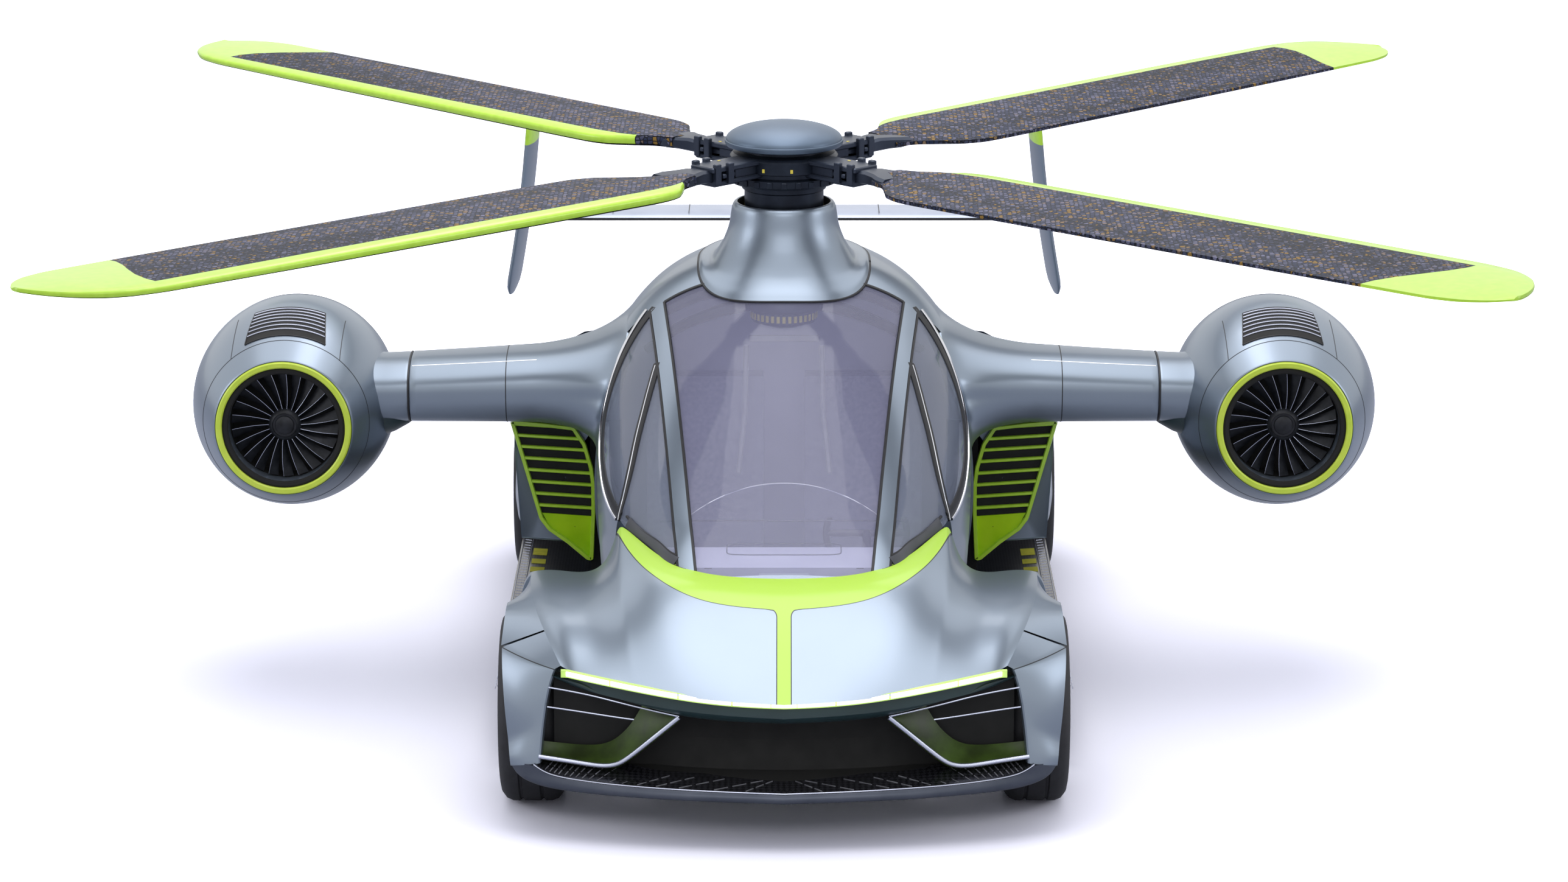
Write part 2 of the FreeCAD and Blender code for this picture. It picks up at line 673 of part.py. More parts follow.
def mast_parts(cabin):
    outer = fairing_outer(0.0).cut(cabin)
    bore = rod_z(0, 0, 0.0, far, collar_bore_r)
    save("mast_fairing", outer.cut(bore))
    inner = cabin_solid(cabin_wall)
    housing = rod_z(0, 0, gearbox_bottom_z, gearbox_top_z, gearbox_r)
    for angle in (gearbox_arm_deg, 180.0 - gearbox_arm_deg, 180.0 + gearbox_arm_deg, 360.0 - gearbox_arm_deg):
        arm = block(0.7 * gearbox_r, far, -gearbox_arm_half, gearbox_arm_half,
                    gearbox_top_z - gearbox_arm_drop - gearbox_arm_depth, gearbox_top_z - gearbox_arm_drop)
        arm.rotate(vec(0, 0, 0), vec(0, 0, 1), angle)
        housing = housing.fuse(arm)
    housing = housing.common(inner)
    sleeve = rod_z(0, 0, gearbox_top_z, mast_sleeve_top_z, mast_r + mast_sleeve_wall)
    bore = rod_z(0, 0, mast_bottom_z - 10.0, mast_sleeve_top_z + 10.0, mast_r + fit_gap)
    save("mast_gearbox", housing.fuse(sleeve).cut(bore))


def blade_section(radius, chord, thickness, lift):
    """Closed blade section across the blade at one radius: flat middle with rounded edges."""
    half, h = chord / 2, thickness / 2
    flat = max(half - 3.2 * h, half * 0.25)
    p = [vec(radius, -flat, lift - h), vec(radius, flat, lift - h), vec(radius, half, lift),
         vec(radius, flat, lift + h), vec(radius, -flat, lift + h), vec(radius, -half, lift)]
    edges = [Part.makeLine(p[i], p[(i + 1) % 6]) for i in range(6)]
    return Part.Wire(edges)


def rotor():
    mast = rod_z(0, 0, mast_bottom_z, drum_bottom_z + 10.0, mast_r)
    drum = rod_z(0, 0, drum_bottom_z, drum_top_z, drum_r)
    plate = rod_z(0, 0, hub_plate_bottom_z, hub_plate_top_z, hub_plate_r)
    neck = rod_z(0, 0, hub_plate_top_z - 1.0, cap_bottom_z, drum_r)
    hub = mast.fuse(drum).fuse(plate).fuse(neck)
    dome = [vec(0, 0, cap_bottom_z), vec(cap_edge_r - 14.0, 0, cap_bottom_z), vec(cap_edge_r, 0, cap_bottom_z + 12.0),
            vec(cap_edge_r, 0, cap_edge_z)]
    rise = cap_top_z - cap_edge_z
    dome_r = (cap_edge_r ** 2 + rise ** 2) / (2 * rise)
    mid = math.asin(cap_edge_r / dome_r) / 2
    dome_arc = Part.Arc(vec(cap_edge_r, 0, cap_edge_z),
                        vec(dome_r * math.sin(mid), 0, cap_top_z - dome_r * (1 - math.cos(mid))),
                        vec(0, 0, cap_top_z)).toShape()
    outline = [Part.makeLine(dome[i], dome[i + 1]) for i in range(3)] + [dome_arc]
    outline.append(Part.makeLine(vec(0, 0, cap_top_z), vec(0, 0, cap_bottom_z)))
    save("rotor_cap", Part.Face(Part.Wire(outline)).revolve(vec(0, 0, 0), vec(0, 0, 1), 360))
    slope = math.tan(math.radians(blade_cone_deg))
    # Columns: radius, chord, thickness
    stations = [(grip_outer_r - 20.0, arm_root_width, grip_height - 18.0), (blade_root_r, arm_root_width, 50.0),
                (blade_root_r + 120.0, blade_root_chord * 2.1, blade_thickness),
                (blade_full_chord_r, blade_chord, blade_thickness),
                (blade_tip_r - blade_tip_round, blade_chord, blade_thickness * 0.8),
                (blade_tip_r - blade_tip_round * 0.35, blade_chord * 0.82, blade_thickness * 0.7),
                (blade_tip_r, blade_chord * 0.42, blade_thickness * 0.5)]
    sections = [blade_section(r, c, t, hub_plane_z + slope * r) for r, c, t in stations]
    blade = Part.makeLoft(sections, True, True)
    grip = block(grip_inner_r - 20.0, grip_outer_r, -grip_width / 2, grip_width / 2, hub_plane_z - grip_height / 2,
                 hub_plane_z + grip_height / 2)
    grip = grip.cut(blade)
    blades = []
    for index in range(blade_count):
        angle = first_blade_deg + index * 360.0 / blade_count
        turned_blade = blade.copy()
        turned_blade.rotate(vec(0, 0, 0), vec(0, 0, 1), angle)
        turned_grip = grip.copy()
        turned_grip.rotate(vec(0, 0, 0), vec(0, 0, 1), angle)
        hub = hub.fuse(turned_grip)
        blades.append(turned_blade)
    save("rotor_hub", hub)
    save("rotor_blades", *blades)


def pods():
    """Ducted fans: shell, lime ring, fan and the fixed centre body that carries it."""
    r_mid = (pod_front_y + pod_rear_y) / 2 - 60.0
    centre = vec(pod_x, 0, pod_z)
    axis = vec(0, 1, 0)

    def at(y, r):
        return vec(pod_x, y, pod_z + r)

    arc = Part.Arc(at(pod_front_y, pod_lip_r), at(r_mid, pod_max_r), at(pod_rear_y, pod_exit_r)).toShape()
    edges = [arc, Part.makeLine(at(pod_rear_y, pod_exit_r), at(pod_rear_y, pod_bore_r)),
             Part.makeLine(at(pod_rear_y, pod_bore_r), at(pod_front_y, pod_bore_r)),
             Part.makeLine(at(pod_front_y, pod_bore_r), at(pod_front_y, pod_lip_r))]
    shell = Part.Face(Part.Wire(edges)).revolve(centre, axis, 360)
    ring_points = [at(pod_front_y - ring_depth, ring_inner_r), at(pod_front_y - ring_depth, ring_outer_r),
                   at(pod_front_y, ring_outer_r), at(pod_front_y, ring_inner_r)]
    ring = turned(ring_points, centre, axis)
    body = rod_y(pod_x, stator_y, stator_y + stator_length, pod_z, stator_r)
    for index in range(stator_strut_count):
        strut = block(pod_x - stator_strut_thickness / 2, pod_x + stator_strut_thickness / 2, stator_y + 60.0,
                      stator_y + 60.0 + stator_strut_length, pod_z, pod_z + pod_bore_r + 5.0)
        strut.rotate(centre, axis, index * 360.0 / stator_strut_count)
        body = body.fuse(strut)
    body = body.common(rod_y(pod_x, stator_y - 10.0, stator_y + stator_length + 10.0, pod_z, pod_bore_r))
    shaft_end = stator_y + 60.0
    body = body.cut(rod_y(pod_x, stator_y - 1.0, shaft_end, pod_z, fan_shaft_r + fit_gap))
    fan = rod_y(pod_x, fan_y, fan_y + fan_depth, pod_z, fan_hub_r)
    fan = fan.fuse(rod_y(pod_x, fan_y + fan_depth - 1.0, shaft_end - 1.0, pod_z, fan_shaft_r))
    vane = block(pod_x - fan_vane_thickness / 2, pod_x + fan_vane_thickness / 2, fan_y + 6.0,
                 fan_y + fan_depth - 4.0, pod_z + fan_hub_r - 4.0, pod_z + pod_bore_r - fan_tip_gap)
    for index in range(fan_vane_count):
        copy = vane.copy()
        copy.rotate(centre, axis, index * 360.0 / fan_vane_count)
        fan = fan.fuse(copy)
    save("pod_shells", *both(shell))
    save("pod_rings", *both(ring))
    save("fan_stators", *both(body))
    save("fan_left", fan)
    save("fan_right", mirrored(fan))
    return shell


def wing_section(row):
    """Rounded wing section: blunt nose arc, tapered tail."""
    x, lead, trail, low, high = row
    mid = (low + high) / 2
    third = lead + 0.32 * (trail - lead)
    edges = [Part.Arc(vec(x, third, low), vec(x, lead, mid), vec(x, third, high)).toShape(),
             Part.Arc(vec(x, third, high), vec(x, (third + trail) / 2, high - 0.16 * (high - low)),
                      vec(x, trail, mid + 14.0)).toShape(),
             Part.makeLine(vec(x, trail, mid + 14.0), vec(x, trail, mid - 14.0)),
             Part.Arc(vec(x, trail, mid - 14.0), vec(x, (third + trail) / 2, low + 0.16 * (high - low)),
                      vec(x, third, low)).toShape()]
    return Part.Wire(edges)


def wings(cabin, pod_shell):
    wing = Part.makeLoft([wing_section(row) for row in WING], True, False).cut(cabin)
    save("stub_wings", *both(wing))
    tip = WING[-1]
    neck_rows = [(tip[0],) + (tip[1] + 14.0, tip[2] - 14.0, tip[3] + 14.0, tip[4] - 14.0),
                 (pylon_outer_x,) + (tip[1] + 40.0, tip[2] - 30.0, tip[3] + 10.0, tip[4] - 30.0)]
    neck = Part.makeLoft([wing_section(row) for row in neck_rows], True, True).cut(pod_shell)
    bore = rod_y(pod_x, pod_front_y, pod_rear_y, pod_z, pod_bore_r)
    save("wing_pylons", *both(neck.cut(bore)))
    return wing


def tail(cabin, rear):
    path = vec(0, boom_end_y - boom_start_y, boom_end_z - boom_start_z)
    boom = Part.makeCone(boom_start_r, boom_end_r, path.Length, vec(0, boom_start_y, boom_start_z), path)
    stab = block(-stab_half_span, stab_half_span, stab_front_y, stab_rear_y, stab_z - stab_thickness / 2,
                 stab_z + stab_thickness / 2)
    save("tail_boom", boom.cut(cabin).cut(rear).cut(stab))
    fin_rows = [(fin_bottom_x, fin_bottom_z, fin_bottom_chord, 60.0), (0.0, stab_z, fin_mid_chord, 0.0),
                (fin_top_x, fin_top_z, fin_top_chord, 70.0)]
    share = (stab_z - fin_bottom_z) / (fin_top_z - fin_bottom_z)
    mid_x = fin_bottom_x + share * (fin_top_x - fin_bottom_x)
    sections = []
    for x, z, chord, sweep in fin_rows:
        x = x or mid_x
        y0 = stab_front_y - 30.0 + sweep
        h = fin_thickness / 2
        pts = [vec(x - h, y0 + 0.2 * chord, z), vec(x, y0, z), vec(x + h, y0 + 0.2 * chord, z),
               vec(x + h, y0 + 0.8 * chord, z), vec(x, y0 + chord, z), vec(x - h, y0 + 0.8 * chord, z)]
        sections.append(wire(pts))
    fin = Part.makeLoft(sections, True, True)
    save("tail_fins", *both(fin))
    save("stabiliser", cut_all(stab, both(fin)))


def cabin_inside(cabin):
    inner = cabin_solid(cabin_wall)
    dash_block = block(-700.0, 700.0, dash_front_y, dash_rear_y, dash_bottom_z, dash_top_z)
    save("dashboard", dash_block.common(cabin_solid(cabin_wall + seat_gap)))
    floor_top = floor_z + cabin_wall
    x0, x1 = seat_x - seat_half_width, seat_x + seat_half_width
    cushion = block(x0, x1, seat_front_y, seat_rear_y, floor_top, seat_top_z)
    back = prism_x([(seat_rear_y - 60.0, seat_top_z - 20.0), (seat_rear_y + 80.0, seat_top_z - 20.0),
                    (seat_rear_y + 220.0, seat_back_top_z), (seat_rear_y + 120.0, seat_back_top_z)], x0, x1)
    save("seats", *both(cushion.fuse(back).common(inner)))
    column = rod_y(0, -80.0, column_length, 0, column_r)
    grip = Part.makeTorus(yoke_r, yoke_grip_r, vec(0, column_length, 0), vec(0, 1, 0))
    grip = grip.common(block(-200.0, 200.0, 0.0, 2 * column_length, -170.0, 60.0))
    yoke = column.fuse(grip).fuse(rod_x(-yoke_r, yoke_r, column_length, 0.0, yoke_grip_r))
    yoke.rotate(vec(0, 0, 0), vec(1, 0, 0), column_tilt_deg)
    yoke.translate(vec(seat_x, dash_rear_y, column_z))
    save("steering_yoke", yoke.cut(dash_block))


def underside(cabin, front, rear):
    """Floor pan under the cabin and the side steps between the wheels."""
    pan_z = floor_z - pan_thickness
    pan = block(-pan_half_width, pan_half_width, pan_front_y, pan_rear_y, pan_z, floor_z)
    for reach, y, top in ((front_track_half, front_axle_y, front_floor_z), (rear_track_half, rear_axle_y, rear_floor_z)):
        half = reach - arch_inner_depth
        pan = pan.fuse(block(-half, half, y - cross_length / 2, y + cross_length / 2, pan_z, top))
    sockets = []
    for x, y in ((jack_front_x, front_axle_y), (jack_rear_x, rear_axle_y)):
        sockets += both(rod_z(x, y, pan_z - 1.0, pan_z + jack_socket_depth, jack_socket_r))
    save("floor_pan", cut_all(pan, [cabin, front, rear] + sockets))
    step = prism_z([(pan_half_width, step_front_y), (step_outer_x - 40.0, step_front_y),
                    (step_outer_x, step_front_y + 60.0), (step_outer_x, step_rear_y), (pan_half_width, step_rear_y)],
                   step_bottom_z, step_top_z)
    save("side_steps", *both(cut_all(step, [cabin, front, rear] + arches())))


os.makedirs(OUT, exist_ok=True)
outer = cabin_solid(0.0)
wheels()
front = front_body(outer)
rear = rear_body(outer)
cabin_parts(outer)
save("louvre_panels", *both(louvres()))
mast_parts(outer)
rotor()
pod_shell = pods()
wings(outer, pod_shell)
tail(outer, rear)
cabin_inside(outer)
underside(outer, front, rear)
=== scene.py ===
# %% [markdown]
# This notebook dresses a two-seat flying car: a silver-blue road car with a bubble canopy, a
# four-blade rotor on a mast, two ducted fans on stub wings and a twin-fin tail. The frame holds the
# solid pieces at their real size. Here each visible skin is made again as a smooth surface from a
# formula, because a flat triangle shows at once in satin metallic paint.

# %% Load the frame
import json
import math
import bmesh
import bpy
import numpy as np
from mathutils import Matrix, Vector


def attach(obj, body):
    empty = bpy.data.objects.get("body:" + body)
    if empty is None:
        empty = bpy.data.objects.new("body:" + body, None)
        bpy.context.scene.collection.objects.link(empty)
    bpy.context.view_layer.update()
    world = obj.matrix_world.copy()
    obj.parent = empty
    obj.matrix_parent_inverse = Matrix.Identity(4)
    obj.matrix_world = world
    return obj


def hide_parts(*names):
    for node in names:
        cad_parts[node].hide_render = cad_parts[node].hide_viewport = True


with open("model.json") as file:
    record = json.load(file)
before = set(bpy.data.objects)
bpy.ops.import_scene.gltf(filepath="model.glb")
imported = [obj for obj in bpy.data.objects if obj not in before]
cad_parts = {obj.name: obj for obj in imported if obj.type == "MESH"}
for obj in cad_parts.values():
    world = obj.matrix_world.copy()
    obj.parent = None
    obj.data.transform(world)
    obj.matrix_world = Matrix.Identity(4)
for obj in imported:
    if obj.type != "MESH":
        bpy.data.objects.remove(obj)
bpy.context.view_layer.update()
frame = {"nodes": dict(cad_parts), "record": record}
nodes = frame["nodes"]

# %% [markdown]
# The camera comes first, so that every later piece can be judged in the real picture. It stands far
# in front of the car, a little above it, and looks down along +Y with a long lens. A long lens keeps
# the four blades nearly in one plane, as they look in a studio shot.

# %% Camera
camera_distance = 17.75
camera_height = 5.459
camera_pitch = math.radians(14.25)
lens_mm = 110.4
camera_data = bpy.data.cameras.new("studio_camera")
camera_data.lens = lens_mm
camera_data.sensor_width = 36.0
camera_data.clip_end = 200.0
camera = bpy.data.objects.new("studio_camera", camera_data)
camera.location = (0.0, -camera_distance, camera_height)
camera.rotation_euler = (math.pi / 2 - camera_pitch, 0.0, 0.0)
bpy.context.scene.collection.objects.link(camera)
bpy.context.scene.camera = camera
bpy.context.scene.view_settings.view_transform = "Standard"
print("camera", tuple(round(c, 3) for c in camera.location))

# %% [markdown]
# Numpy makes a surface as whole arrays: a function of two parameters gives one point for every knot
# of a grid. These helpers turn such a grid into a mesh. Closed directions are joined by wrapping the
# indices, so no seam is left open, and the winding is chosen so that the faces look outwards.

# %% Grid helpers
def mesh_object(name, vertices, faces, material, smooth_deg=35.0):
    """A mesh object from arrays of vertices and faces, smooth except across sharp folds."""
    mesh = bpy.data.meshes.new(name)
    mesh.from_pydata(np.asarray(vertices, float).tolist(), [], [tuple(f) for f in faces])
    mesh.materials.append(material)
    mesh.polygons.foreach_set("use_smooth", np.ones(len(mesh.polygons), bool))
    mesh.update()
    mesh.set_sharp_from_angle(angle=math.radians(smooth_deg))
    made = bpy.data.objects.new(name, mesh)
    bpy.context.scene.collection.objects.link(made)
    return made


def grid_faces(rows, columns, wrap_rows=False, wrap_columns=False, flip=False, start=0):
    """Index quads of a rows x columns grid of points, wrapped round where a direction is closed."""
    i, j = np.meshgrid(np.arange(rows - (not wrap_rows)), np.arange(columns - (not wrap_columns)),
                       indexing="ij")
    i2, j2 = (i + 1) % rows, (j + 1) % columns
    quads = np.stack([i * columns + j, i2 * columns + j, i2 * columns + j2, i * columns + j2], axis=-1)
    quads = quads.reshape(-1, 4)
    if flip:
        quads = quads[:, ::-1]
    return (quads + start).tolist()


class Shell:
    """Collects grids of points and makes one mesh of them, with mirrored copies where asked."""

    def __init__(self):
        self.points = []
        self.faces = []
        self.values = []
        self.count = 0

    def grid(self, points, wrap_rows=False, wrap_columns=False, flip=False, values=None, mirror=False,
             close_ends=False):
        points = np.asarray(points, float)
        rows, columns = points.shape[:2]
        copies = ((1.0, flip), (-1.0, not flip)) if mirror else ((1.0, flip),)
        for side, turned in copies:
            moved = points * np.array([side, 1.0, 1.0])
            self.points.append(moved.reshape(-1, 3))
            self.faces += grid_faces(rows, columns, wrap_rows, wrap_columns, turned, self.count)
            if close_ends:
                first = list(range(self.count, self.count + columns))
                last = list(range(self.count + (rows - 1) * columns, self.count + rows * columns))
                self.faces.append(tuple(first[::-1] if turned else first))
                self.faces.append(tuple(last if turned else last[::-1]))
            kept = np.zeros(rows * columns) if values is None else np.asarray(values, float).reshape(-1)
            self.values.append(kept)
            self.count += rows * columns
        return self

    def build(self, name, material, merge=1e-5, attribute=None, smooth_deg=35.0, outward=True):
        made = mesh_object(name, np.concatenate(self.points), self.faces, material, smooth_deg)
        if attribute:
            layer = made.data.attributes.new(attribute, "FLOAT", "POINT")
            layer.data.foreach_set("value", np.concatenate(self.values).astype(np.float32))
        work = bmesh.new()
        work.from_mesh(made.data)
        bmesh.ops.remove_doubles(work, verts=work.verts, dist=merge)
        bmesh.ops.dissolve_degenerate(work, edges=work.edges, dist=merge)
        if outward:
            bmesh.ops.recalc_face_normals(work, faces=work.faces)
        work.to_mesh(made.data)
        work.free()
        made.data.set_sharp_from_angle(angle=math.radians(smooth_deg))
        return made

    def finish(self, name, material, slot, *replaced, body="body", **settings):
        """Build the mesh, ride it on a body, and let it stand for the solid nodes it replaces."""
        return finish_piece(self.build(name, material, **settings), body, slot, *replaced)


def xyz(x, y, z):
    """Points from three coordinates, each an array or one number for all."""
    return np.stack(np.broadcast_arrays(x, y, z), axis=-1)


def turn_about_z(degrees):
    """Matrix that turns rows of points about the vertical axis through the origin."""
    c, s = math.cos(math.radians(degrees)), math.sin(math.radians(degrees))
    return np.array([[c, s, 0], [-s, c, 0], [0, 0, 1.0]])


def smoothstep(a, b, x):
    t = np.clip((x - a) / (b - a), 0.0, 1.0)
    return t * t * (3 - 2 * t)


def bspline_weights(control_count, samples, degree=3):
    """Weights of a clamped uniform B-spline: a samples x control_count matrix by Cox and de Boor."""
    degree = min(degree, control_count - 1)
    inner = np.arange(1, control_count - degree)
    span = control_count - degree
    knots = np.concatenate([np.zeros(degree + 1), inner, np.full(degree + 1, span)]).astype(float)
    t = np.linspace(0.0, span, samples) if np.isscalar(samples) else np.asarray(samples) * span
    t = np.clip(t, 0.0, span - 1e-9)
    basis = [((t >= knots[k]) & (t < knots[k + 1])).astype(float) for k in range(len(knots) - 1)]
    for d in range(1, degree + 1):
        raised = []
        for k in range(len(knots) - d - 1):
            left_span, right_span = knots[k + d] - knots[k], knots[k + d + 1] - knots[k + 1]
            left = (t - knots[k]) / left_span * basis[k] if left_span else 0.0
            right = (knots[k + d + 1] - t) / right_span * basis[k + 1] if right_span else 0.0
            raised.append(left + right)
        basis = raised
    return np.stack(basis, axis=1)


def net_surface(net, rows, columns):
    """A B-spline surface over a small net of control points, as a rows x columns grid."""
    net = np.asarray(net, float)
    return np.einsum("ai,bj,ijk->abk", bspline_weights(net.shape[0], rows), bspline_weights(net.shape[1],
            columns), net)


def spline_path(points, samples, degree=3):
    """A smooth path near a few chosen points, passing through the first and the last."""
    points = np.asarray(points, float)
    return bspline_weights(len(points), samples, degree) @ points


def through_path(points, samples):
    """A smooth path through every point given, by Catmull-Rom pieces."""
    p = np.asarray(points, float)
    padded = np.concatenate([[2 * p[0] - p[1]], p, [2 * p[-1] - p[-2]]])
    t = np.linspace(0, len(p) - 1 - 1e-9, samples)
    k = t.astype(int)
    u = (t - k)[:, None]
    a, b, c, d = padded[k], padded[k + 1], padded[k + 2], padded[k + 3]
    return 0.5 * (2 * b + (c - a) * u + (2 * a - 5 * b + 4 * c - d) * u ** 2 + (3 * b - a - 3 * c + d)
                  * u ** 3)


def curve_at(table, x):
    """Piecewise smooth value read from a short table of (position, value) pairs, by monotone cubics."""
    table = np.asarray(table, float)
    px, py = table[:, 0], table[:, 1]
    slope = np.diff(py) / np.diff(px)
    inner = np.where(slope[:-1] * slope[1:] > 0, 2 * slope[:-1] * slope[1:]
                     / (slope[:-1] + slope[1:] + 1e-12), 0.0)
    tangent = np.concatenate([[slope[0]], inner, [slope[-1]]])
    x = np.clip(x, px[0], px[-1])
    k = np.clip(np.searchsorted(px, x) - 1, 0, len(px) - 2)
    h = px[k + 1] - px[k]
    t = (x - px[k]) / h
    return ((1 + 2 * t) * (1 - t) ** 2 * py[k] + t * (1 - t) ** 2 * h * tangent[k]
            + t * t * (3 - 2 * t) * py[k + 1] + t * t * (t - 1) * h * tangent[k + 1])


def finish_piece(made, body, slot, *replaced):
    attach(made, body)
    if replaced:
        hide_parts(*replaced)
    print(made.name, len(made.data.polygons), "faces on", body)
    return made


# %% [markdown]
# A material is a small tree of nodes. Each finish on this car gets its own function: satin metallic
# paint with fine flake, lime paint, two composite weaves, glass whose pale colour is partly tint and
# partly painted reflection, metal, rubber and so on. Numbers that hold for the whole surface sit on the
# shader's own sockets, so that any program that opens the model finds them.

# %% Material helpers
def new_material(name, **settings):
    """A Principled material with its sockets set by name, such as Roughness=0.3."""
    made = bpy.data.materials.new(name)
    made.use_nodes = True
    shader = made.node_tree.nodes["Principled BSDF"]
    for key, value in settings.items():
        socket = shader.inputs[key.replace("_", " ")]
        is_colour = isinstance(value, (tuple, list)) and len(value) == 3
        socket.default_value = tuple(value) + (1.0,) if is_colour else value
    return made, made.node_tree, shader


def add(tree, kind, inputs=None, **settings):
    """A node of one kind, with its settings and its plain input values."""
    made = tree.nodes.new(kind)
    for key, value in settings.items():
        setattr(made, key, value)
    for key, value in (inputs or {}).items():
        made.inputs[key].default_value = value
    return made


def object_noise(tree, scale, detail=3.0, stretch=(1.0, 1.0, 1.0), roughness=0.5):
    """Noise on Object coordinates, so many cells to a metre, stretched along an axis if asked."""
    place = add(tree, "ShaderNodeTexCoord")
    mapping = add(tree, "ShaderNodeMapping")
    mapping.inputs["Scale"].default_value = stretch
    noise = add(tree, "ShaderNodeTexNoise", {"Scale": scale, "Detail": detail, "Roughness": roughness})
    tree.links.new(place.outputs["Object"], mapping.inputs["Vector"])
    tree.links.new(mapping.outputs["Vector"], noise.inputs["Vector"])
    return noise


def ramp(tree, source, stops):
    """A colour ramp fed by a value. Each stop is (position, colour)."""
    made = add(tree, "ShaderNodeValToRGB")
    elements = made.color_ramp.elements
    while len(elements) < len(stops):
        elements.new(0.5)
    for element, (position, colour) in zip(elements, stops):
        element.position = position
        element.color = tuple(colour) + (1.0,)
    tree.links.new(source, made.inputs["Fac"])
    return made


def bump(tree, shader, height, strength, distance):
    made = add(tree, "ShaderNodeBump", {"Strength": strength, "Distance": distance})
    tree.links.new(height, made.inputs["Height"])
    tree.links.new(made.outputs["Normal"], shader.inputs["Normal"])
    return made


def roughness_from(tree, shader, source, low, high):
    made = add(tree, "ShaderNodeMapRange", {"To Min": low, "To Max": high})
    tree.links.new(source, made.inputs["Value"])
    tree.links.new(made.outputs["Result"], shader.inputs["Roughness"])


def mix_colours(tree, factor, first, second):
    """Mix of two colours, each a plain colour or a node's output, by a factor output."""
    made = add(tree, "ShaderNodeMix", data_type="RGBA")
    tree.links.new(factor, made.inputs["Factor"])
    for socket, value in ((made.inputs[6], first), (made.inputs[7], second)):
        if isinstance(value, (tuple, list)):
            socket.default_value = tuple(value) + (1.0,)
        else:
            tree.links.new(value, socket)
    return made.outputs[2]


def threshold(tree, source, edge, below=True):
    """1 where the source is below the edge value, or above it."""
    made = add(tree, "ShaderNodeMath", {1: edge}, operation="LESS_THAN" if below else "GREATER_THAN")
    tree.links.new(source, made.inputs[0])
    return made.outputs["Value"]


# %% [markdown]
# The body is a satin silver-blue with a fine flake. Colour and roughness both follow noise, so that a
# broad highlight isn't quite even. The lime band is painted by a distance that the mesh carries.

# %% Paints
silver = (0.240, 0.285, 0.345)
lime = (0.52, 0.84, 0.045)
seam_black = (0.012, 0.012, 0.016)


def silver_paint(name, marked=False):
    """Satin metallic paint. On a marked skin the lime zones and their black outline are painted too:
    the mesh carries a signed distance in metres, negative inside the lime."""
    made, tree, shader = new_material(name, Metallic=0.82, Roughness=0.36, Coat_Weight=0.22,
                                      Coat_Roughness=0.12)
    flake = object_noise(tree, 900.0, 2.0)
    cloud = object_noise(tree, 2.2, 3.0)
    shade = ramp(tree, cloud.outputs["Fac"], [(0.30, tuple(0.94 * c for c in silver)),
            (0.70, tuple(1.05 * c for c in silver))])
    colour = mix_colours(tree, flake.outputs["Fac"], shade.outputs["Color"], tuple(1.10 * c for c in silver))
    roughness_from(tree, shader, flake.outputs["Fac"], 0.33, 0.40)
    bump(tree, shader, flake.outputs["Fac"], 0.05, 0.0002)
    if marked:
        attribute = add(tree, "ShaderNodeAttribute", attribute_name="lime_distance")
        inside = threshold(tree, attribute.outputs["Fac"], 0.0)
        colour = mix_colours(tree, inside, colour, lime)
        away = add(tree, "ShaderNodeMath", operation="ABSOLUTE")
        tree.links.new(attribute.outputs["Fac"], away.inputs[0])
        outline = threshold(tree, away.outputs["Value"], 0.0018)
        colour = mix_colours(tree, outline, colour, seam_black)
        metal = add(tree, "ShaderNodeMapRange", {"To Min": 0.86, "To Max": 0.0})
        tree.links.new(inside, metal.inputs["Value"])
        tree.links.new(metal.outputs["Result"], shader.inputs["Metallic"])
    tree.links.new(colour, shader.inputs["Base Color"])
    return made


def lime_paint():
    made, tree, shader = new_material("lime_paint", Roughness=0.32, Coat_Weight=0.35, Coat_Roughness=0.10)
    cloud = object_noise(tree, 30.0, 3.0)
    shade = ramp(tree, cloud.outputs["Fac"], [(0.35, (0.49, 0.80, 0.040)), (0.65, (0.55, 0.87, 0.055))])
    tree.links.new(shade.outputs["Color"], shader.inputs["Base Color"])
    grain = object_noise(tree, 700.0, 2.0)
    bump(tree, shader, grain.outputs["Fac"], 0.05, 0.0002)
    return made


def plain_finish(name, dark, light, scale, roughness, metallic=0.0, grain=600.0, grain_depth=0.0003,
                 **settings):
    """A finish whose colour drifts between two shades, with a fine grain in its bump."""
    made, tree, shader = new_material(name, Metallic=metallic, Roughness=roughness, **settings)
    cloud = object_noise(tree, scale, 4.0)
    shade = ramp(tree, cloud.outputs["Fac"], [(0.32, dark), (0.68, light)])
    tree.links.new(shade.outputs["Color"], shader.inputs["Base Color"])
    roughness_from(tree, shader, cloud.outputs["Fac"], roughness * 0.85, min(1.0, roughness * 1.15))
    fine = object_noise(tree, grain, 2.0)
    bump(tree, shader, fine.outputs["Fac"], 0.15, grain_depth)
    return made


def weave_finish(name, ground, thread, scale, roughness, turn_deg=45.0):
    """Twill composite: two crossed wave patterns, one darker, the other paler, under a clear coat."""
    made, tree, shader = new_material(name, Roughness=roughness, Coat_Weight=0.5, Coat_Roughness=0.12)
    place = add(tree, "ShaderNodeTexCoord")
    mapping = add(tree, "ShaderNodeMapping")
    mapping.inputs["Rotation"].default_value = (0.0, 0.0, math.radians(turn_deg))
    tree.links.new(place.outputs["Object"], mapping.inputs["Vector"])
    checks = add(tree, "ShaderNodeTexChecker", {"Scale": scale})
    tree.links.new(mapping.outputs["Vector"], checks.inputs["Vector"])
    colour = mix_colours(tree, checks.outputs["Fac"], ground, thread)
    tree.links.new(colour, shader.inputs["Base Color"])
    bump(tree, shader, checks.outputs["Fac"], 0.2, 0.0004)
    return made


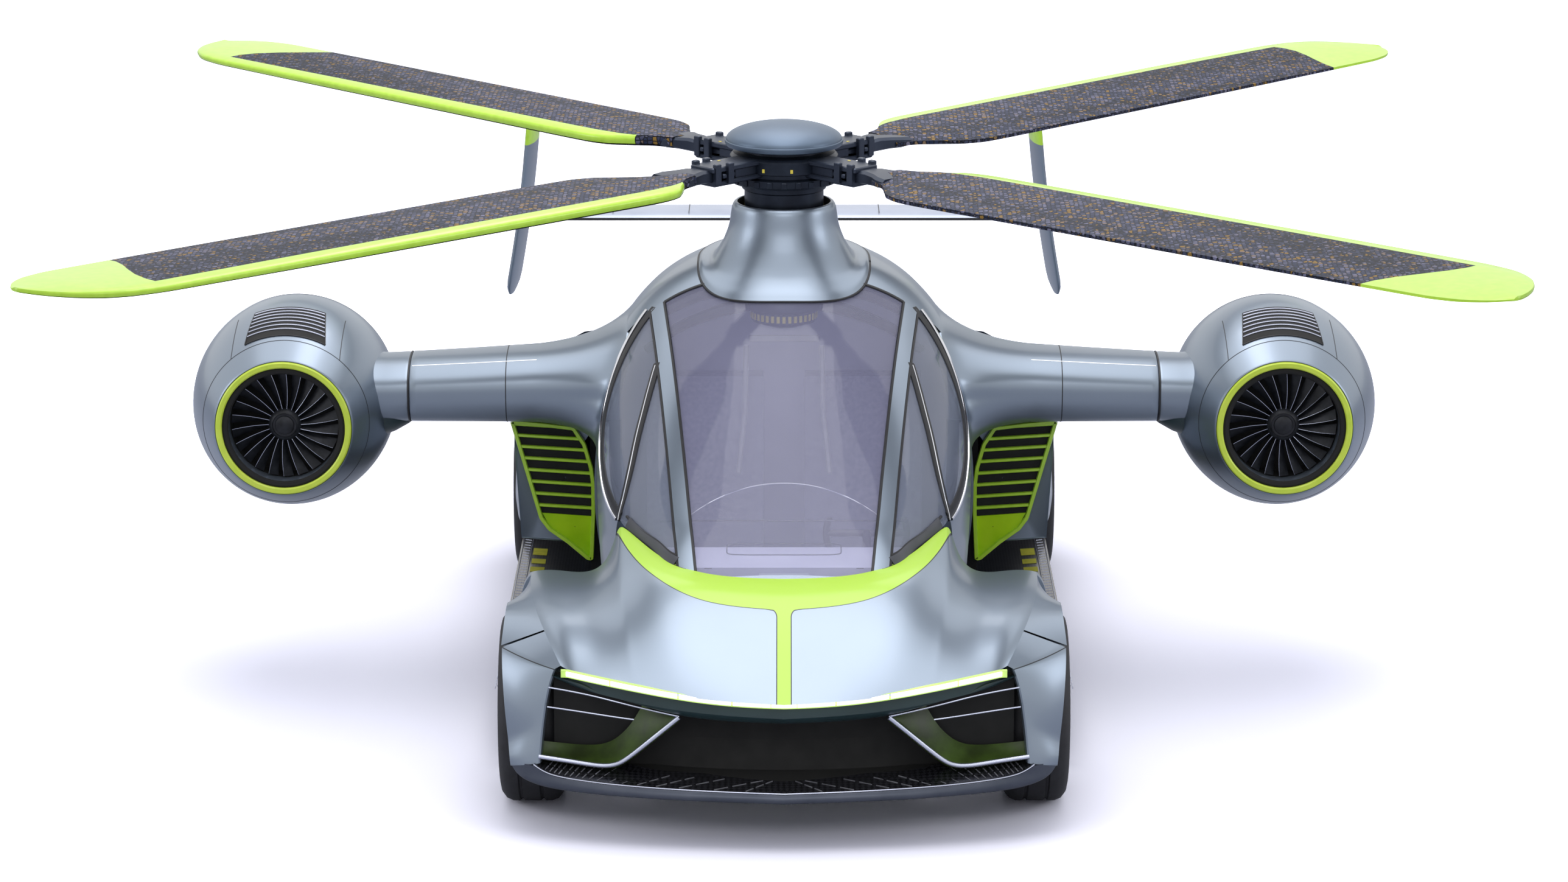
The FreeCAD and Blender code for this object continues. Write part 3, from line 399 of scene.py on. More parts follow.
def blade_weave():
    """Blade skin: a pebble weave of dark cells with pale, blue and amber threads between them."""
    made, tree, shader = new_material("blade_weave", Roughness=0.55, Specular_IOR_Level=0.18)
    place = add(tree, "ShaderNodeTexCoord")
    cells = add(tree, "ShaderNodeTexVoronoi", {"Scale": 62.0, "Randomness": 0.55},
                feature="DISTANCE_TO_EDGE")
    tints = add(tree, "ShaderNodeTexVoronoi", {"Scale": 62.0, "Randomness": 0.55}, feature="F1")
    for node in (cells, tints):
        tree.links.new(place.outputs["Object"], node.inputs["Vector"])
    split = add(tree, "ShaderNodeSeparateColor")
    tree.links.new(tints.outputs["Color"], split.inputs["Color"])
    thread = ramp(tree, split.outputs["Red"], [(0.0, (0.014, 0.022, 0.055)), (0.50, (0.050, 0.055, 0.095)),
                                               (0.80, (0.16, 0.16, 0.24)), (0.92, (0.26, 0.15, 0.03))])
    edge = ramp(tree, cells.outputs["Distance"], [(0.06, (0.0, 0.0, 0.0)), (0.18, (1.0, 1.0, 1.0))])
    colour = mix_colours(tree, edge.outputs["Color"], (0.006, 0.007, 0.012), thread.outputs["Color"])
    tree.links.new(colour, shader.inputs["Base Color"])
    bump(tree, shader, cells.outputs["Distance"], 0.5, 0.0015)
    return made


def tint_and_painted_reflection_glass(name, tint_and_reflection, alpha):
    """Pane: a glossy skin that lets most of the light through. Its pale colour is partly tint and partly a
    painted reflection of the bright room, with faint streaks of haze.
    """
    made, tree, shader = new_material(name, Roughness=0.04, IOR=1.5, Alpha=alpha, Coat_Weight=0.6,
                                      Coat_Roughness=0.02)
    haze = object_noise(tree, 1.6, 2.0)
    shade = ramp(tree, haze.outputs["Fac"], [(0.30, tuple(0.93 * c for c in tint_and_reflection)), (0.70, tint_and_reflection)])
    tree.links.new(shade.outputs["Color"], shader.inputs["Base Color"])
    return made


def light_strip():
    """White light strip: short glowing segments with thin dividers, by a wave across the car."""
    made, tree, shader = new_material("lamp_white", Roughness=0.25, Emission_Strength=1.0)
    place = add(tree, "ShaderNodeTexCoord")
    split = add(tree, "ShaderNodeSeparateXYZ")
    tree.links.new(place.outputs["Object"], split.inputs["Vector"])
    scaled = add(tree, "ShaderNodeMath", {1: 13.0}, operation="MULTIPLY")
    part = add(tree, "ShaderNodeMath", operation="FRACT")
    tree.links.new(split.outputs["X"], scaled.inputs[0])
    tree.links.new(scaled.outputs["Value"], part.inputs[0])
    gap = ramp(tree, part.outputs["Value"], [(0.0, (0.80, 0.88, 0.62)), (0.04, (0.97, 1.0, 0.92)),
            (0.96, (1.0, 1.0, 0.96)),
                                             (1.0, (0.80, 0.88, 0.62))])
    tree.links.new(gap.outputs["Color"], shader.inputs["Base Color"])
    tree.links.new(gap.outputs["Color"], shader.inputs["Emission Color"])
    return made


def light_housing():
    """Lens behind the light segments: it glows a soft lime, its tone drifting by noise."""
    made, tree, shader = new_material("lamp_housing", Roughness=0.35, Emission_Strength=0.55)
    tone = object_noise(tree, 5.0, 1.0)
    glow = ramp(tree, tone.outputs["Fac"], [(0.3, (0.42, 0.62, 0.13)), (0.7, (0.55, 0.78, 0.20))])
    tree.links.new(glow.outputs["Color"], shader.inputs["Base Color"])
    tree.links.new(glow.outputs["Color"], shader.inputs["Emission Color"])
    return made


body_paint = silver_paint("body_paint")
marked_paint = silver_paint("body_paint_marked", marked=True)
lime_finish = lime_paint()
blade_finish = blade_weave()
carbon = weave_finish("carbon", (0.010, 0.010, 0.013), (0.030, 0.031, 0.036), 90.0, 0.30)
# The windscreen's milky lavender is a painted reflection of the bright room over a faint tint.
glass = tint_and_painted_reflection_glass("glazing", (0.66, 0.66, 0.92), 0.17)
side_glass = tint_and_painted_reflection_glass("glazing_side", (0.36, 0.40, 0.50), 0.38)
dark_metal = plain_finish("dark_metal", (0.028, 0.030, 0.036), (0.050, 0.052, 0.060), 9.0, 0.38,
                          metallic=0.7)
fan_metal = plain_finish("fan_metal", (0.16, 0.17, 0.20), (0.26, 0.27, 0.30), 40.0, 0.34, metallic=0.9)
rim_metal = plain_finish("rim_metal", (0.04, 0.04, 0.045), (0.07, 0.07, 0.08), 12.0, 0.30, metallic=0.9)
rubber = plain_finish("tyre_rubber", (0.010, 0.010, 0.012), (0.020, 0.020, 0.024), 25.0, 0.62,
                      grain_depth=0.0008)
trim = plain_finish("cabin_trim", (0.58, 0.58, 0.78), (0.66, 0.66, 0.86), 6.0, 0.60, grain_depth=0.00003)
fabric = plain_finish("seat_fabric", (0.24, 0.24, 0.33), (0.32, 0.32, 0.42), 60.0, 0.85, grain=350.0,
                      grain_depth=0.0015)
black_plastic = plain_finish("dark_plastic", (0.010, 0.010, 0.012), (0.018, 0.018, 0.021), 18.0, 0.45)
gasket = plain_finish("gasket", (0.008, 0.008, 0.010), (0.014, 0.014, 0.017), 30.0, 0.50)
bright_edge = plain_finish("bright_edge", (0.70, 0.71, 0.76), (0.80, 0.81, 0.85), 8.0, 0.16, metallic=1.0)
lamp = light_strip()
brow_dark = plain_finish("brow_teal", (0.016, 0.036, 0.040), (0.024, 0.050, 0.055), 6.0, 0.34)
duct_green = plain_finish("duct_olive", (0.020, 0.034, 0.004), (0.060, 0.110, 0.012), 9.0, 0.40)
# Near-black finish: painted shade for the dark inside openings, slots and ducts, partly the parts' own black
black_and_painted_shade = plain_finish("black_and_painted_shade", (0.002, 0.002, 0.002), (0.004, 0.004, 0.004), 12.0, 0.80)
strut_silver = plain_finish("strut_silver", (0.52, 0.55, 0.68), (0.62, 0.65, 0.78), 7.0, 0.26, metallic=0.85)
lip_satin = plain_finish("lip_satin", (0.060, 0.070, 0.095), (0.085, 0.096, 0.125), 7.0, 0.36, metallic=0.5)
lip_weave = weave_finish("lip_weave", (0.006, 0.006, 0.008), (0.022, 0.022, 0.026), 70.0, 0.26)
lamp_glow = light_housing()
ring_lime = plain_finish("ring_lime", (0.62, 0.80, 0.06), (0.72, 0.88, 0.09), 20.0, 0.34)
fan_dark = plain_finish("fan_dark", (0.010, 0.011, 0.014), (0.022, 0.024, 0.030), 40.0, 0.40, metallic=0.5)
band_grey = plain_finish("band_grey", (0.045, 0.047, 0.056), (0.070, 0.072, 0.084), 8.0, 0.45)
gloss_lime = plain_finish("gloss_lime", (0.40, 0.74, 0.01), (0.58, 0.90, 0.02), 6.0, 0.12)
step_yellow = plain_finish("step_yellow", (0.62, 0.60, 0.05), (0.78, 0.74, 0.08), 40.0, 0.45)
step_weave = weave_finish("step_weave", (0.004, 0.004, 0.005), (0.050, 0.050, 0.055), 120.0, 0.35)
pale_paint = plain_finish("pale_paint", (0.42, 0.46, 0.56), (0.50, 0.54, 0.64), 5.0, 0.34, metallic=0.4)
pale_trim = plain_finish("pale_trim", (0.42, 0.42, 0.46), (0.52, 0.52, 0.54), 9.0, 0.55)
# Grey for painted highlights: the glints of the carbon lip's weave
painted_glint_grey = plain_finish("painted_glint_grey", (0.10, 0.10, 0.11), (0.26, 0.26, 0.28), 30.0, 0.45)
hub_metal = plain_finish("hub_metal", (0.010, 0.014, 0.024), (0.020, 0.028, 0.044), 14.0, 0.34, metallic=0.6)
arm_metal = plain_finish("arm_metal", (0.026, 0.034, 0.054), (0.040, 0.050, 0.074), 9.0, 0.36, metallic=0.6)
cap_paint = plain_finish("cap_paint", (0.090, 0.125, 0.175), (0.115, 0.155, 0.210), 5.0, 0.42, metallic=0.6)
amber_lamp = plain_finish("amber_lamp", (0.80, 0.62, 0.06), (0.95, 0.80, 0.12), 40.0, 0.35)
SLOT_FINISH = {"body_paint": body_paint, "lime_paint": lime_finish, "blade_weave": blade_finish,
               "carbon": carbon,
               "lamp_white": lamp, "glazing": glass, "dark_metal": dark_metal, "fan_metal": fan_metal,
               "rim_metal": rim_metal, "tyre_rubber": rubber, "cabin_trim": trim, "seat_fabric": fabric,
               "dark_plastic": black_plastic}
print(len(SLOT_FINISH), "finishes")

# %% [markdown]
# Every solid node first gets the finish of its slot. Most are then replaced by a smoother skin, and
# what is left, such as the seats and the floor, is seen only from below or through glass.

# %% Dress the solid nodes
node_slot = {part["node"]: part["material_slot"] for part in frame["record"]["subparts"]}
node_body = {node: body for body, members in frame["record"]["behaviour"]["bodies"].items()
             for node in members}
for node, made in nodes.items():
    made.data.materials.clear()
    made.data.materials.append(SLOT_FINISH[node_slot[node]])
print(len(nodes), "nodes dressed")


# %% [markdown]
# A node's mesh is loose flat triangles. Where its shape is right but it would look faceted, a copy
# has its doubles merged and its normals smoothed across small angles, and the copy stands for it.

# %% Smoothed copies
def merged_copy(node, name):
    """A copy of a node's object, free of its parent and marks, and its mesh with doubles merged."""
    made = nodes[node].copy()
    made.data = nodes[node].data.copy()
    made.name, made.parent = name, None
    for key in list(made.keys()):
        del made[key]
    bpy.context.scene.collection.objects.link(made)
    work = bmesh.new()
    work.from_mesh(made.data)
    bmesh.ops.remove_doubles(work, verts=work.verts, dist=2e-5)
    return made, work


def smooth_copy(node, smooth_deg=32.0):
    made, work = merged_copy(node, node + "_skin")
    work.to_mesh(made.data)
    work.free()
    made.data.polygons.foreach_set("use_smooth", np.ones(len(made.data.polygons), bool))
    if "custom_normal" in made.data.attributes:
        made.data.attributes.remove(made.data.attributes["custom_normal"])
    made.data.set_sharp_from_angle(angle=math.radians(smooth_deg))
    return finish_piece(made, node_body[node], node_slot[node], node)


remade = {"front_body", "roof_frame", "door_left", "door_right", "front_splitter", "rotor_hub", "rotor_cap",
          "rotor_blades",
          "mast_fairing", "stub_wings", "wing_pylons", "pod_shells", "pod_rings", "fan_stators", "fan_left",
          "fan_right",
          "rear_body", "louvre_panels", "side_steps", "motor_cowl",
          "tail_fins", "stabiliser", "mast_gearbox"} | {name for name in nodes if name.startswith("tyre_")}
for node in nodes:
    if node_slot[node] in ("body_paint", "dark_metal", "fan_metal", "rim_metal", "tyre_rubber",
                           "carbon") and node not in remade:
        smooth_copy(node)

# %% [markdown]
# The canopy is one bubble that windscreen, side glass, pillars, doors and roof all share. Every cross
# section is a superellipse: (x / width) ** n + ((z - belt) / height) ** n = 1. Width, belt, crown and
# the power n change smoothly along the car, so each pane is cut from the same skin and all stay flush.

# %% Canopy skin
# Columns: y, half width, belt height, crown height, power
CANOPY = np.array([(-1.40, 0.385, 0.60, 0.788, 9.0), (-1.17, 0.500, 0.70, 0.985, 3.2),
                   (-0.946, 0.612, 0.78, 1.172, 2.6),
                   (-0.65, 0.676, 0.86, 1.392, 2.37), (-0.35, 0.700, 0.92, 1.556, 2.42),
                   (0.0, 0.712, 0.96, 1.690, 2.42),
                   (0.50, 0.700, 0.92, 1.650, 2.3), (1.10, 0.560, 0.85, 1.430, 2.2),
                   (1.60, 0.400, 0.76, 1.250, 2.1)])
floor_z = 0.23
sill_tuck = 0.045


def canopy_column(index, y):
    return curve_at(CANOPY[:, [0, index]], y)


def canopy_z(x, y, lift=0.0):
    """Height of the bubble over a point in plan, or a little above it by lift."""
    width, belt, crown, power = (canopy_column(i, y) for i in (1, 2, 3, 4))
    inner = np.clip(1.0 - np.clip(np.abs(x) / (width + lift), 0.0, 1.0) ** power, 0.0, 1.0)
    return belt + (crown + lift - belt) * inner ** (1.0 / power)


def canopy_x(z, y, lift=0.0):
    """Half width of the bubble at a height; below the belt it draws in to the sill by a soft arc."""
    width, belt, crown, power = (canopy_column(i, y) for i in (1, 2, 3, 4))
    over = np.clip((z - belt) / (crown + lift - belt), 0.0, 1.0)
    under = np.clip((belt - z) / (belt - floor_z), 0.0, 1.0)
    above = (width + lift) * (1.0 - over ** power) ** (1.0 / power)
    return np.where(z > belt, above, width + lift - sill_tuck * under ** 1.8)


def side_patch(y, z, lift=0.0):
    """Points on the left flank of the bubble for arrays of y and z."""
    y, z = np.broadcast_arrays(np.asarray(y, float), np.asarray(z, float))
    return xyz(canopy_x(z, y, lift), y, z)


def top_patch(x, y, lift=0.0):
    """Points on the top of the bubble for arrays of x and y."""
    x, y = np.broadcast_arrays(np.asarray(x, float), np.asarray(y, float))
    return xyz(x, y, canopy_z(x, y, lift))


def skin_normal(points):
    """Outward direction of the bubble at points on its left half, by small steps along the skin."""
    step = 0.004
    x, y, z = np.moveaxis(np.asarray(points, float), -1, 0)
    steep = x > 0.62 * canopy_column(1, y)
    dz_dx = (canopy_z(x + step, y) - canopy_z(x - step, y)) / (2 * step)
    dz_dy = (canopy_z(x, y + step) - canopy_z(x, y - step)) / (2 * step)
    dx_dz = (canopy_x(z + step, y) - canopy_x(z - step, y)) / (2 * step)
    dx_dy = (canopy_x(z, y + step) - canopy_x(z, y - step)) / (2 * step)
    top = xyz(-dz_dx, -dz_dy, np.ones_like(x))
    side = xyz(np.ones_like(x), -dx_dy, -dx_dz)
    normal = np.where(steep[..., None], side, top)
    return normal / np.linalg.norm(normal, axis=-1, keepdims=True)


def sheet(shell, points, normal, thickness, mirror=True):
    """A patch and its copy moved inwards along the normal, joined round the rim as a closed sheet."""
    inner = points - normal * thickness
    loop = np.concatenate([points[0], points[1:, -1], points[-1, -2::-1], points[-2:0:-1, 0]])
    inner_loop = np.concatenate([inner[0], inner[1:, -1], inner[-1, -2::-1], inner[-2:0:-1, 0]])
    shell.grid(points, mirror=mirror)
    shell.grid(inner, mirror=mirror)
    shell.grid(np.stack([loop, inner_loop]), wrap_columns=True, mirror=mirror)
    return shell


def strip(shell, path, normal, width, height, mirror=True, sink=0.002):
    """A raised strip along a path, width across it and height proud of it, with chamfered edges.
    The normal is one direction, or one for each point."""
    path = np.asarray(path, float)
    normal = np.broadcast_to(np.asarray(normal, float), path.shape)
    along = np.gradient(path, axis=0)
    along /= np.linalg.norm(along, axis=1, keepdims=True)
    across = np.cross(along, normal)
    across /= np.linalg.norm(across, axis=1, keepdims=True)
    half = np.broadcast_to(np.asarray(width, float), (len(path),))[:, None] / 2
    offsets = [(-1.0, -sink), (-1.0, height * 0.6), (-0.7, height), (0.7, height), (1.0, height * 0.6),
               (1.0, -sink)]
    ring = np.stack([path + across * half * a + normal * b for a, b in offsets], axis=1)
    shell.grid(ring, wrap_columns=True, close_ends=True, mirror=mirror)
    return shell


# %% [markdown]
# The glass is cut along lines that can be read in the photograph: a pillar from the corner of the
# windscreen up to the roof, a slim dark post in the side window, and a bright edge that sweeps from
# the waist up to the wing root. Each line is a smooth path through a few points, chosen in side view
# or in plan and laid on the bubble.

# %% Canopy lines
foot_y, head_y = -1.376, -0.185
foot_sag = 0.022
pillar_inner = (0.312, 0.447)
pillar_outer = (0.371, 0.500)
glass_sheet = 0.008
# Lines of the side window in side view, all from the corner at the waist. Columns: y, z
RIM_FRONT = [(-1.352, 0.820), (-1.326, 0.827), (-1.240, 0.843), (-1.116, 0.862), (-1.020, 0.884),
             (-0.952, 0.905)]
rim_front_gasket = 46
BAND_LINE = [(-1.315, 0.842), (-1.240, 0.858), (-1.122, 0.880), (-1.060, 0.896), (-1.022, 0.908)]
RIM_REAR = [(-0.952, 0.905), (-0.844, 0.929), (-0.698, 0.975), (-0.540, 1.040), (-0.425, 1.122),
            (-0.345, 1.215), (-0.275, 1.320), (-0.208, 1.430),
            (-0.165, 1.502)]
POST = [(-0.952, 0.905), (-0.925, 0.985), (-0.850, 1.080), (-0.710, 1.208), (-0.598, 1.298), (-0.500, 1.372)]
post_head_share = 0.735
line_samples = 60


def pillar_edge(halves, share, lift=0.0):
    """A pillar's edge, straight in plan, from foot to head. halves are its two half widths."""
    return top_patch(halves[0] + (halves[1] - halves[0]) * share, foot_y + (head_y - foot_y) * share, lift)


def on_flank(table, samples=line_samples, lift=0.0):
    y, z = through_path(table, samples).T
    return side_patch(y, z, lift)


def ruled(first, second, columns, lift=0.0):
    """A grid between two lines of the flank, straight across in side view and laid on the bubble."""
    share = np.linspace(0.0, 1.0, columns)[None, :, None]
    flat = first[:, None, :] * (1 - share) + second[:, None, :] * share
    return side_patch(flat[..., 1], flat[..., 2], lift)


# %% [markdown]
# A pane is a thin closed sheet: a patch of the bubble, and its copy moved inwards by the glass
# thickness. The windscreen is ruled across the car, the side panes between two of the lines.

# %% Glass panes
def windscreen_pane():
    share = np.linspace(0.0, 1.0, 64)[:, None]
    across = np.linspace(-1.0, 1.0, 65)[None, :]
    half = pillar_inner[0] + (pillar_inner[1] - pillar_inner[0]) * share
    y = foot_y - foot_sag * (1 - across ** 2) * (1 - share) + (head_y - foot_y) * share
    points = top_patch(across * half, y)
    other_side = np.array([-1.0, 1.0, 1.0])
    right_normal = skin_normal(points * other_side) * other_side
    normal = np.where(points[..., :1] < 0, right_normal, skin_normal(points))
    made = sheet(Shell(), points, normal, glass_sheet, mirror=False).build("windscreen_pane", glass)
    return finish_piece(made, "body", "glazing", "windscreen")


share_line = np.linspace(0.0, 1.0, line_samples)
rim_front, rim_rear, post_line = on_flank(RIM_FRONT), on_flank(RIM_REAR), on_flank(POST)
windscreen_pane()
corner_line = np.concatenate([on_flank(RIM_FRONT, 30), on_flank(POST, 31)[1:]])
quarter_points = ruled(corner_line, pillar_edge(pillar_outer, share_line * post_head_share), 20)
quarter = sheet(Shell(), quarter_points, skin_normal(quarter_points), glass_sheet).build("quarter_panes",
        side_glass)
finish_piece(quarter, "body", "glazing", "quarter_glass")
pillar_head = pillar_edge(pillar_outer, post_head_share + (1 - post_head_share) * np.linspace(0, 1, 26))
door_pane_points = ruled(np.concatenate([on_flank(POST, 35), pillar_head[1:]]), rim_rear, 24)
for side, label in ((1.0, "left"), (-1.0, "right")):
    shell = Shell()
    flip = np.array([side, 1.0, 1.0])
    sheet(shell, door_pane_points * flip, skin_normal(door_pane_points) * flip, glass_sheet, mirror=False)
    shell.finish("door_pane_" + label, side_glass, "glazing", "door_glass_" + label, body=label + "_door")

# %% [markdown]
# Rubber gaskets, painted pillars and the bright window edge are thin strips that stand a few
# millimetres proud of the bubble. A strip is a six-sided section carried along a line, so it keeps a
# crisp highlight of its own, which a painted line would not.

# %% Pillars, gaskets and bright edges
def pillar_skins():
    """Painted pillars between windscreen and side window, ruled in plan between their two edges."""
    share = np.linspace(0.0, 1.0, line_samples)[:, None]
    blend = np.linspace(0.04, 0.96, 8)[None, :]
    inner = pillar_inner[0] + (pillar_inner[1] - pillar_inner[0]) * share
    outer = pillar_outer[0] + (pillar_outer[1] - pillar_outer[0]) * share
    points = top_patch(inner + (outer - inner) * blend, foot_y + (head_y - foot_y) * share, 0.006)
    made = sheet(Shell(), points, skin_normal(points), 0.022).build("roof_pillars", body_paint)
    return finish_piece(made, "body", "body_paint")


def gaskets():
    shell = Shell()
    for halves in (pillar_inner, pillar_outer):
        path = pillar_edge(halves, share_line)
        strip(shell, path, skin_normal(path), 0.011, 0.006)
    across = np.linspace(-1.0, 1.0, 48)
    foot = top_patch(across * pillar_outer[0], foot_y - foot_sag * (1 - across ** 2))
    tilt = np.array([0.0, -0.5, 0.866])
    strip(shell, foot, tilt, 0.009, 0.005, mirror=False)
    head = top_patch(across * pillar_inner[1], np.full(48, head_y))
    strip(shell, head, [0.0, -0.42, 0.907], 0.012, 0.006, mirror=False)
    strip(shell, rim_front[:rim_front_gasket], skin_normal(rim_front)[:rim_front_gasket], 0.012, 0.007)
    band = on_flank(BAND_LINE, 40, 0.002)
    grey = Shell()
    strip(grey, band, skin_normal(band), 0.040, 0.0055)
    grey.finish("quarter_bands", band_grey, "dark_plastic")
    upper = on_flank([(y + 0.022, z + 0.016) for y, z in BAND_LINE], 40)
    strip(shell, upper, skin_normal(upper), 0.009, 0.007)
    return shell.finish("window_gaskets", gasket, "dark_plastic")


def door_window_trim(side, label):
    """Post, gasket and bright edge of one door's window."""
    flip = np.array([side, 1.0, 1.0])
    dark = Shell()
    inner_rim = on_flank([(y - 0.012, z + 0.008) for y, z in RIM_REAR])
    for path, width in ((post_line, 0.034), (inner_rim, 0.038)):
        strip(dark, path * flip, skin_normal(path) * flip, width, 0.006, mirror=False)
    dark.finish("window_post_" + label, gasket, "dark_plastic", body=label + "_door")
    bright = Shell()
    outer = on_flank([(y + 0.009, z - 0.007) for y, z in RIM_REAR])
    strip(bright, outer * flip, skin_normal(outer) * flip, 0.011, 0.010, mirror=False)
    fine = on_flank([(y - 0.010, z - 0.004) for y, z in POST], lift=0.006)
    strip(bright, fine * flip, skin_normal(fine) * flip, 0.004, 0.0025, mirror=False)
    bright.finish("window_edge_" + label, bright_edge, "dark_plastic", body=label + "_door")


pillar_skins()
gaskets()
for side, label in ((1.0, "left"), (-1.0, "right")):
    door_window_trim(side, label)

# %% [markdown]
# Behind the windscreen the bubble is painted. The roof runs from the windscreen's head to the engine
# cowl, and its lower edge follows the bright window edge down to the waist. The cowl keeps the same
# sections to the tail, where it closes round the boom. The door below the window is the same skin
# again, cut by the shut lines.

# %% Roof, cowl and door skins
cowl_end_y = 1.60
door_front_y, door_rear_y, door_sill_z = -0.947, -0.078, 0.398


def rim_height(y):
    """Height of the side window's rear rim over y, and a level waist behind the door."""
    rim = through_path(RIM_REAR, 200)
    return np.interp(y, rim[:, 0], rim[:, 1])


def roof_skin():
    """Painted bubble: from the windscreen head back over the cowl, down to the rim and the waist."""
    y = np.concatenate([np.linspace(head_y + 0.006, 0.30, 44), np.linspace(0.32, cowl_end_y, 60)])
    low = np.interp(y, [head_y, -0.15, -0.10, -0.05, 0.0, 0.12, 0.30, cowl_end_y],
                    [1.52, 1.42, 1.20, 1.00, 0.60, 0.50, 0.50, 0.60])
    rows = []
    for yy, zz in zip(y, low):
        edge = float(canopy_x(np.array(zz), np.array(yy)))
        angle = np.linspace(0.0, 1.0, 60)
        width, belt, crown, power = (float(canopy_column(i, np.array(yy))) for i in (1, 2, 3, 4))
        top_angle = np.arctan2(crown - belt, 0.0)
        low_angle = np.arctan2((zz - belt) / (crown - belt), edge / width)
        theta = top_angle + (low_angle - top_angle) * angle
        radius = (np.abs(np.cos(theta)) ** power + np.abs(np.sin(theta)) ** power) ** (-1.0 / power)
        rows.append(xyz(width * radius * np.cos(theta), yy, belt + (crown - belt) * radius * np.sin(theta)))
    grid = np.array(rows)
    full = np.concatenate([grid[:, ::-1], grid[:, 1:] * np.array([-1.0, 1.0, 1.0])], axis=1)
    shell = Shell()
    shell.grid(full)
    last = full[-1]
    hub = last.mean(axis=0) + np.array([0.0, 0.10, 0.0])
    rings = np.stack([hub + (last - hub) * s for s in (1.0, 0.66, 0.33, 0.02)])
    shell.grid(rings)
    made = shell.build("roof_skin", body_paint)
    return finish_piece(made, "body", "body_paint", "roof_frame", "motor_cowl")


def door_skin(side, label):
    """Lower door panel: the flank between sill and window rim, as thick as the door."""
    y = np.linspace(door_front_y, door_rear_y, 40)[:, None]
    top = np.where(y < -0.46, rim_height(y) - 0.012, np.interp(y, [-0.46, -0.36, -0.20, -0.078],
            [1.075, 1.12, 1.07, 0.97]))
    share = np.linspace(0.0, 1.0, 40)[None, :]
    z = door_sill_z + (top - door_sill_z) * share
    points = side_patch(np.broadcast_to(y, z.shape), z)
    flip = np.array([side, 1.0, 1.0])
    made = sheet(Shell(), points * flip, skin_normal(points) * flip, 0.030, mirror=False).build("door_skin_"
            + label, body_paint)
    return finish_piece(made, label + "_door", "body_paint", "door_" + label)


roof_skin()
for side, label in ((1.0, "left"), (-1.0, "right")):
    door_skin(side, label)

# %% [markdown]
# The front body is one B-spline net: ten rails run from the windscreen and the fenders down to the
# nose, five points each. The middle rails are low and nearly flat, the sixth and seventh sink into a
# valley beside the canopy, and the ninth lifts the fender's crown before the crease. Control points
# pull the surface without touching it, so the reflections stay calm between them.

# %% Front body surface
# One row per rail from the centre to the fender crease. Columns: five points (x, y, z) front to back
HOOD_NET = np.array([
    [(0, -1.385, .800), (0, -1.50, .785), (0, -1.66, .731), (0, -1.85, .634), (0, -2.03, .535)],
    [(.18, -1.402, .806), (.18, -1.51, .790), (.175, -1.66, .738), (.155, -1.85, .640), (.13, -2.02, .538)],
    [(.36, -1.375, .826), (.36, -1.50, .815), (.345, -1.66, .757), (.31, -1.84, .656), (.27, -1.997, .543)],
    [(.480, -1.205, .856), (.505, -1.36, .848), (.475, -1.62, .771), (.43, -1.82, .668),
     (.40, -1.968, .552)],
    [(.580, -1.006, .893), (.575, -1.20, .858), (.570, -1.52, .776), (.53, -1.78, .680),
     (.50, -1.940, .563)],
    [(.600, -1.006, .886), (.592, -1.20, .846), (.585, -1.52, .772), (.54, -1.78, .679),
     (.52, -1.934, .565)],
    [(.626, -1.008, .790), (.625, -1.20, .800), (.635, -1.50, .756), (.60, -1.76, .672),
     (.585, -1.913, .575)],
    [(.665, -.985, .725), (.680, -1.20, .750), (.695, -1.50, .745), (.655, -1.74, .670),
     (.65, -1.888, .584)],
    [(.740, -.985, .702), (.760, -1.20, .736), (.765, -1.50, .746), (.71, -1.72, .682), (.70, -1.865, .592)],
    [(.860, -.985, .728), (.865, -1.20, .745), (.845, -1.48, .745), (.785, -1.70, .700),
     (.745, -1.84, .600)],
    [(.915, -.985, .712), (.910, -1.20, .727), (.885, -1.45, .722), (.835, -1.664, .684),
     (.774, -1.80, .605)]], float)
hood_rows, hood_columns = 110, 90

# Lime band in plan: outer edge of the band round the windscreen's foot, then the stem down the middle
BAND_OUTER = np.array([(.620, -.90), (.604, -1.05), (.545, -1.26), (.470, -1.42), (.340, -1.575),
                       (.187, -1.600), (0, -1.600)])
stem_half, corner_round = 0.025, 0.030


def distance_to_line(points, line):
    """Signed distance in plan to an open line that runs from the fender to the centre: inside is negative."""
    best = np.full(points.shape[:-1], 9.0)
    sign = np.ones(points.shape[:-1])
    for a, b in zip(line[:-1], line[1:]):
        edge = b - a
        t = np.clip(((points - a) @ edge) / (edge @ edge), 0, 1)
        away = points - (a + t[..., None] * edge)
        length = np.linalg.norm(away, axis=-1)
        cross = edge[0] * (points[..., 1] - a[1]) - edge[1] * (points[..., 0] - a[0])
        nearer = length < best
        sign = np.where(nearer, np.sign(cross), sign)
        best = np.where(nearer, length, best)
    return best * sign


def lime_distance(points):
    """Distance in plan to the lime area, negative inside: the band and its stem, joined by a soft corner."""
    plan = np.stack([np.abs(points[..., 0]), points[..., 1]], axis=-1)
    band = distance_to_line(plan, spline_path(BAND_OUTER, 60))
    stem = plan[..., 0] - stem_half
    blend = np.clip(0.5 + 0.5 * (stem - band) / corner_round, 0, 1)
    return stem * (1 - blend) + band * blend - corner_round * blend * (1 - blend)


def hood_surface():
    points = net_surface(HOOD_NET, hood_rows, hood_columns)
    shell = Shell()
    shell.grid(points, values=lime_distance(points), mirror=True)
    return points, shell


hood_points, hood_shell = hood_surface()
made = hood_shell.build("hood_skin", marked_paint, attribute="lime_distance", smooth_deg=50)
finish_piece(made, "body", "body_paint")

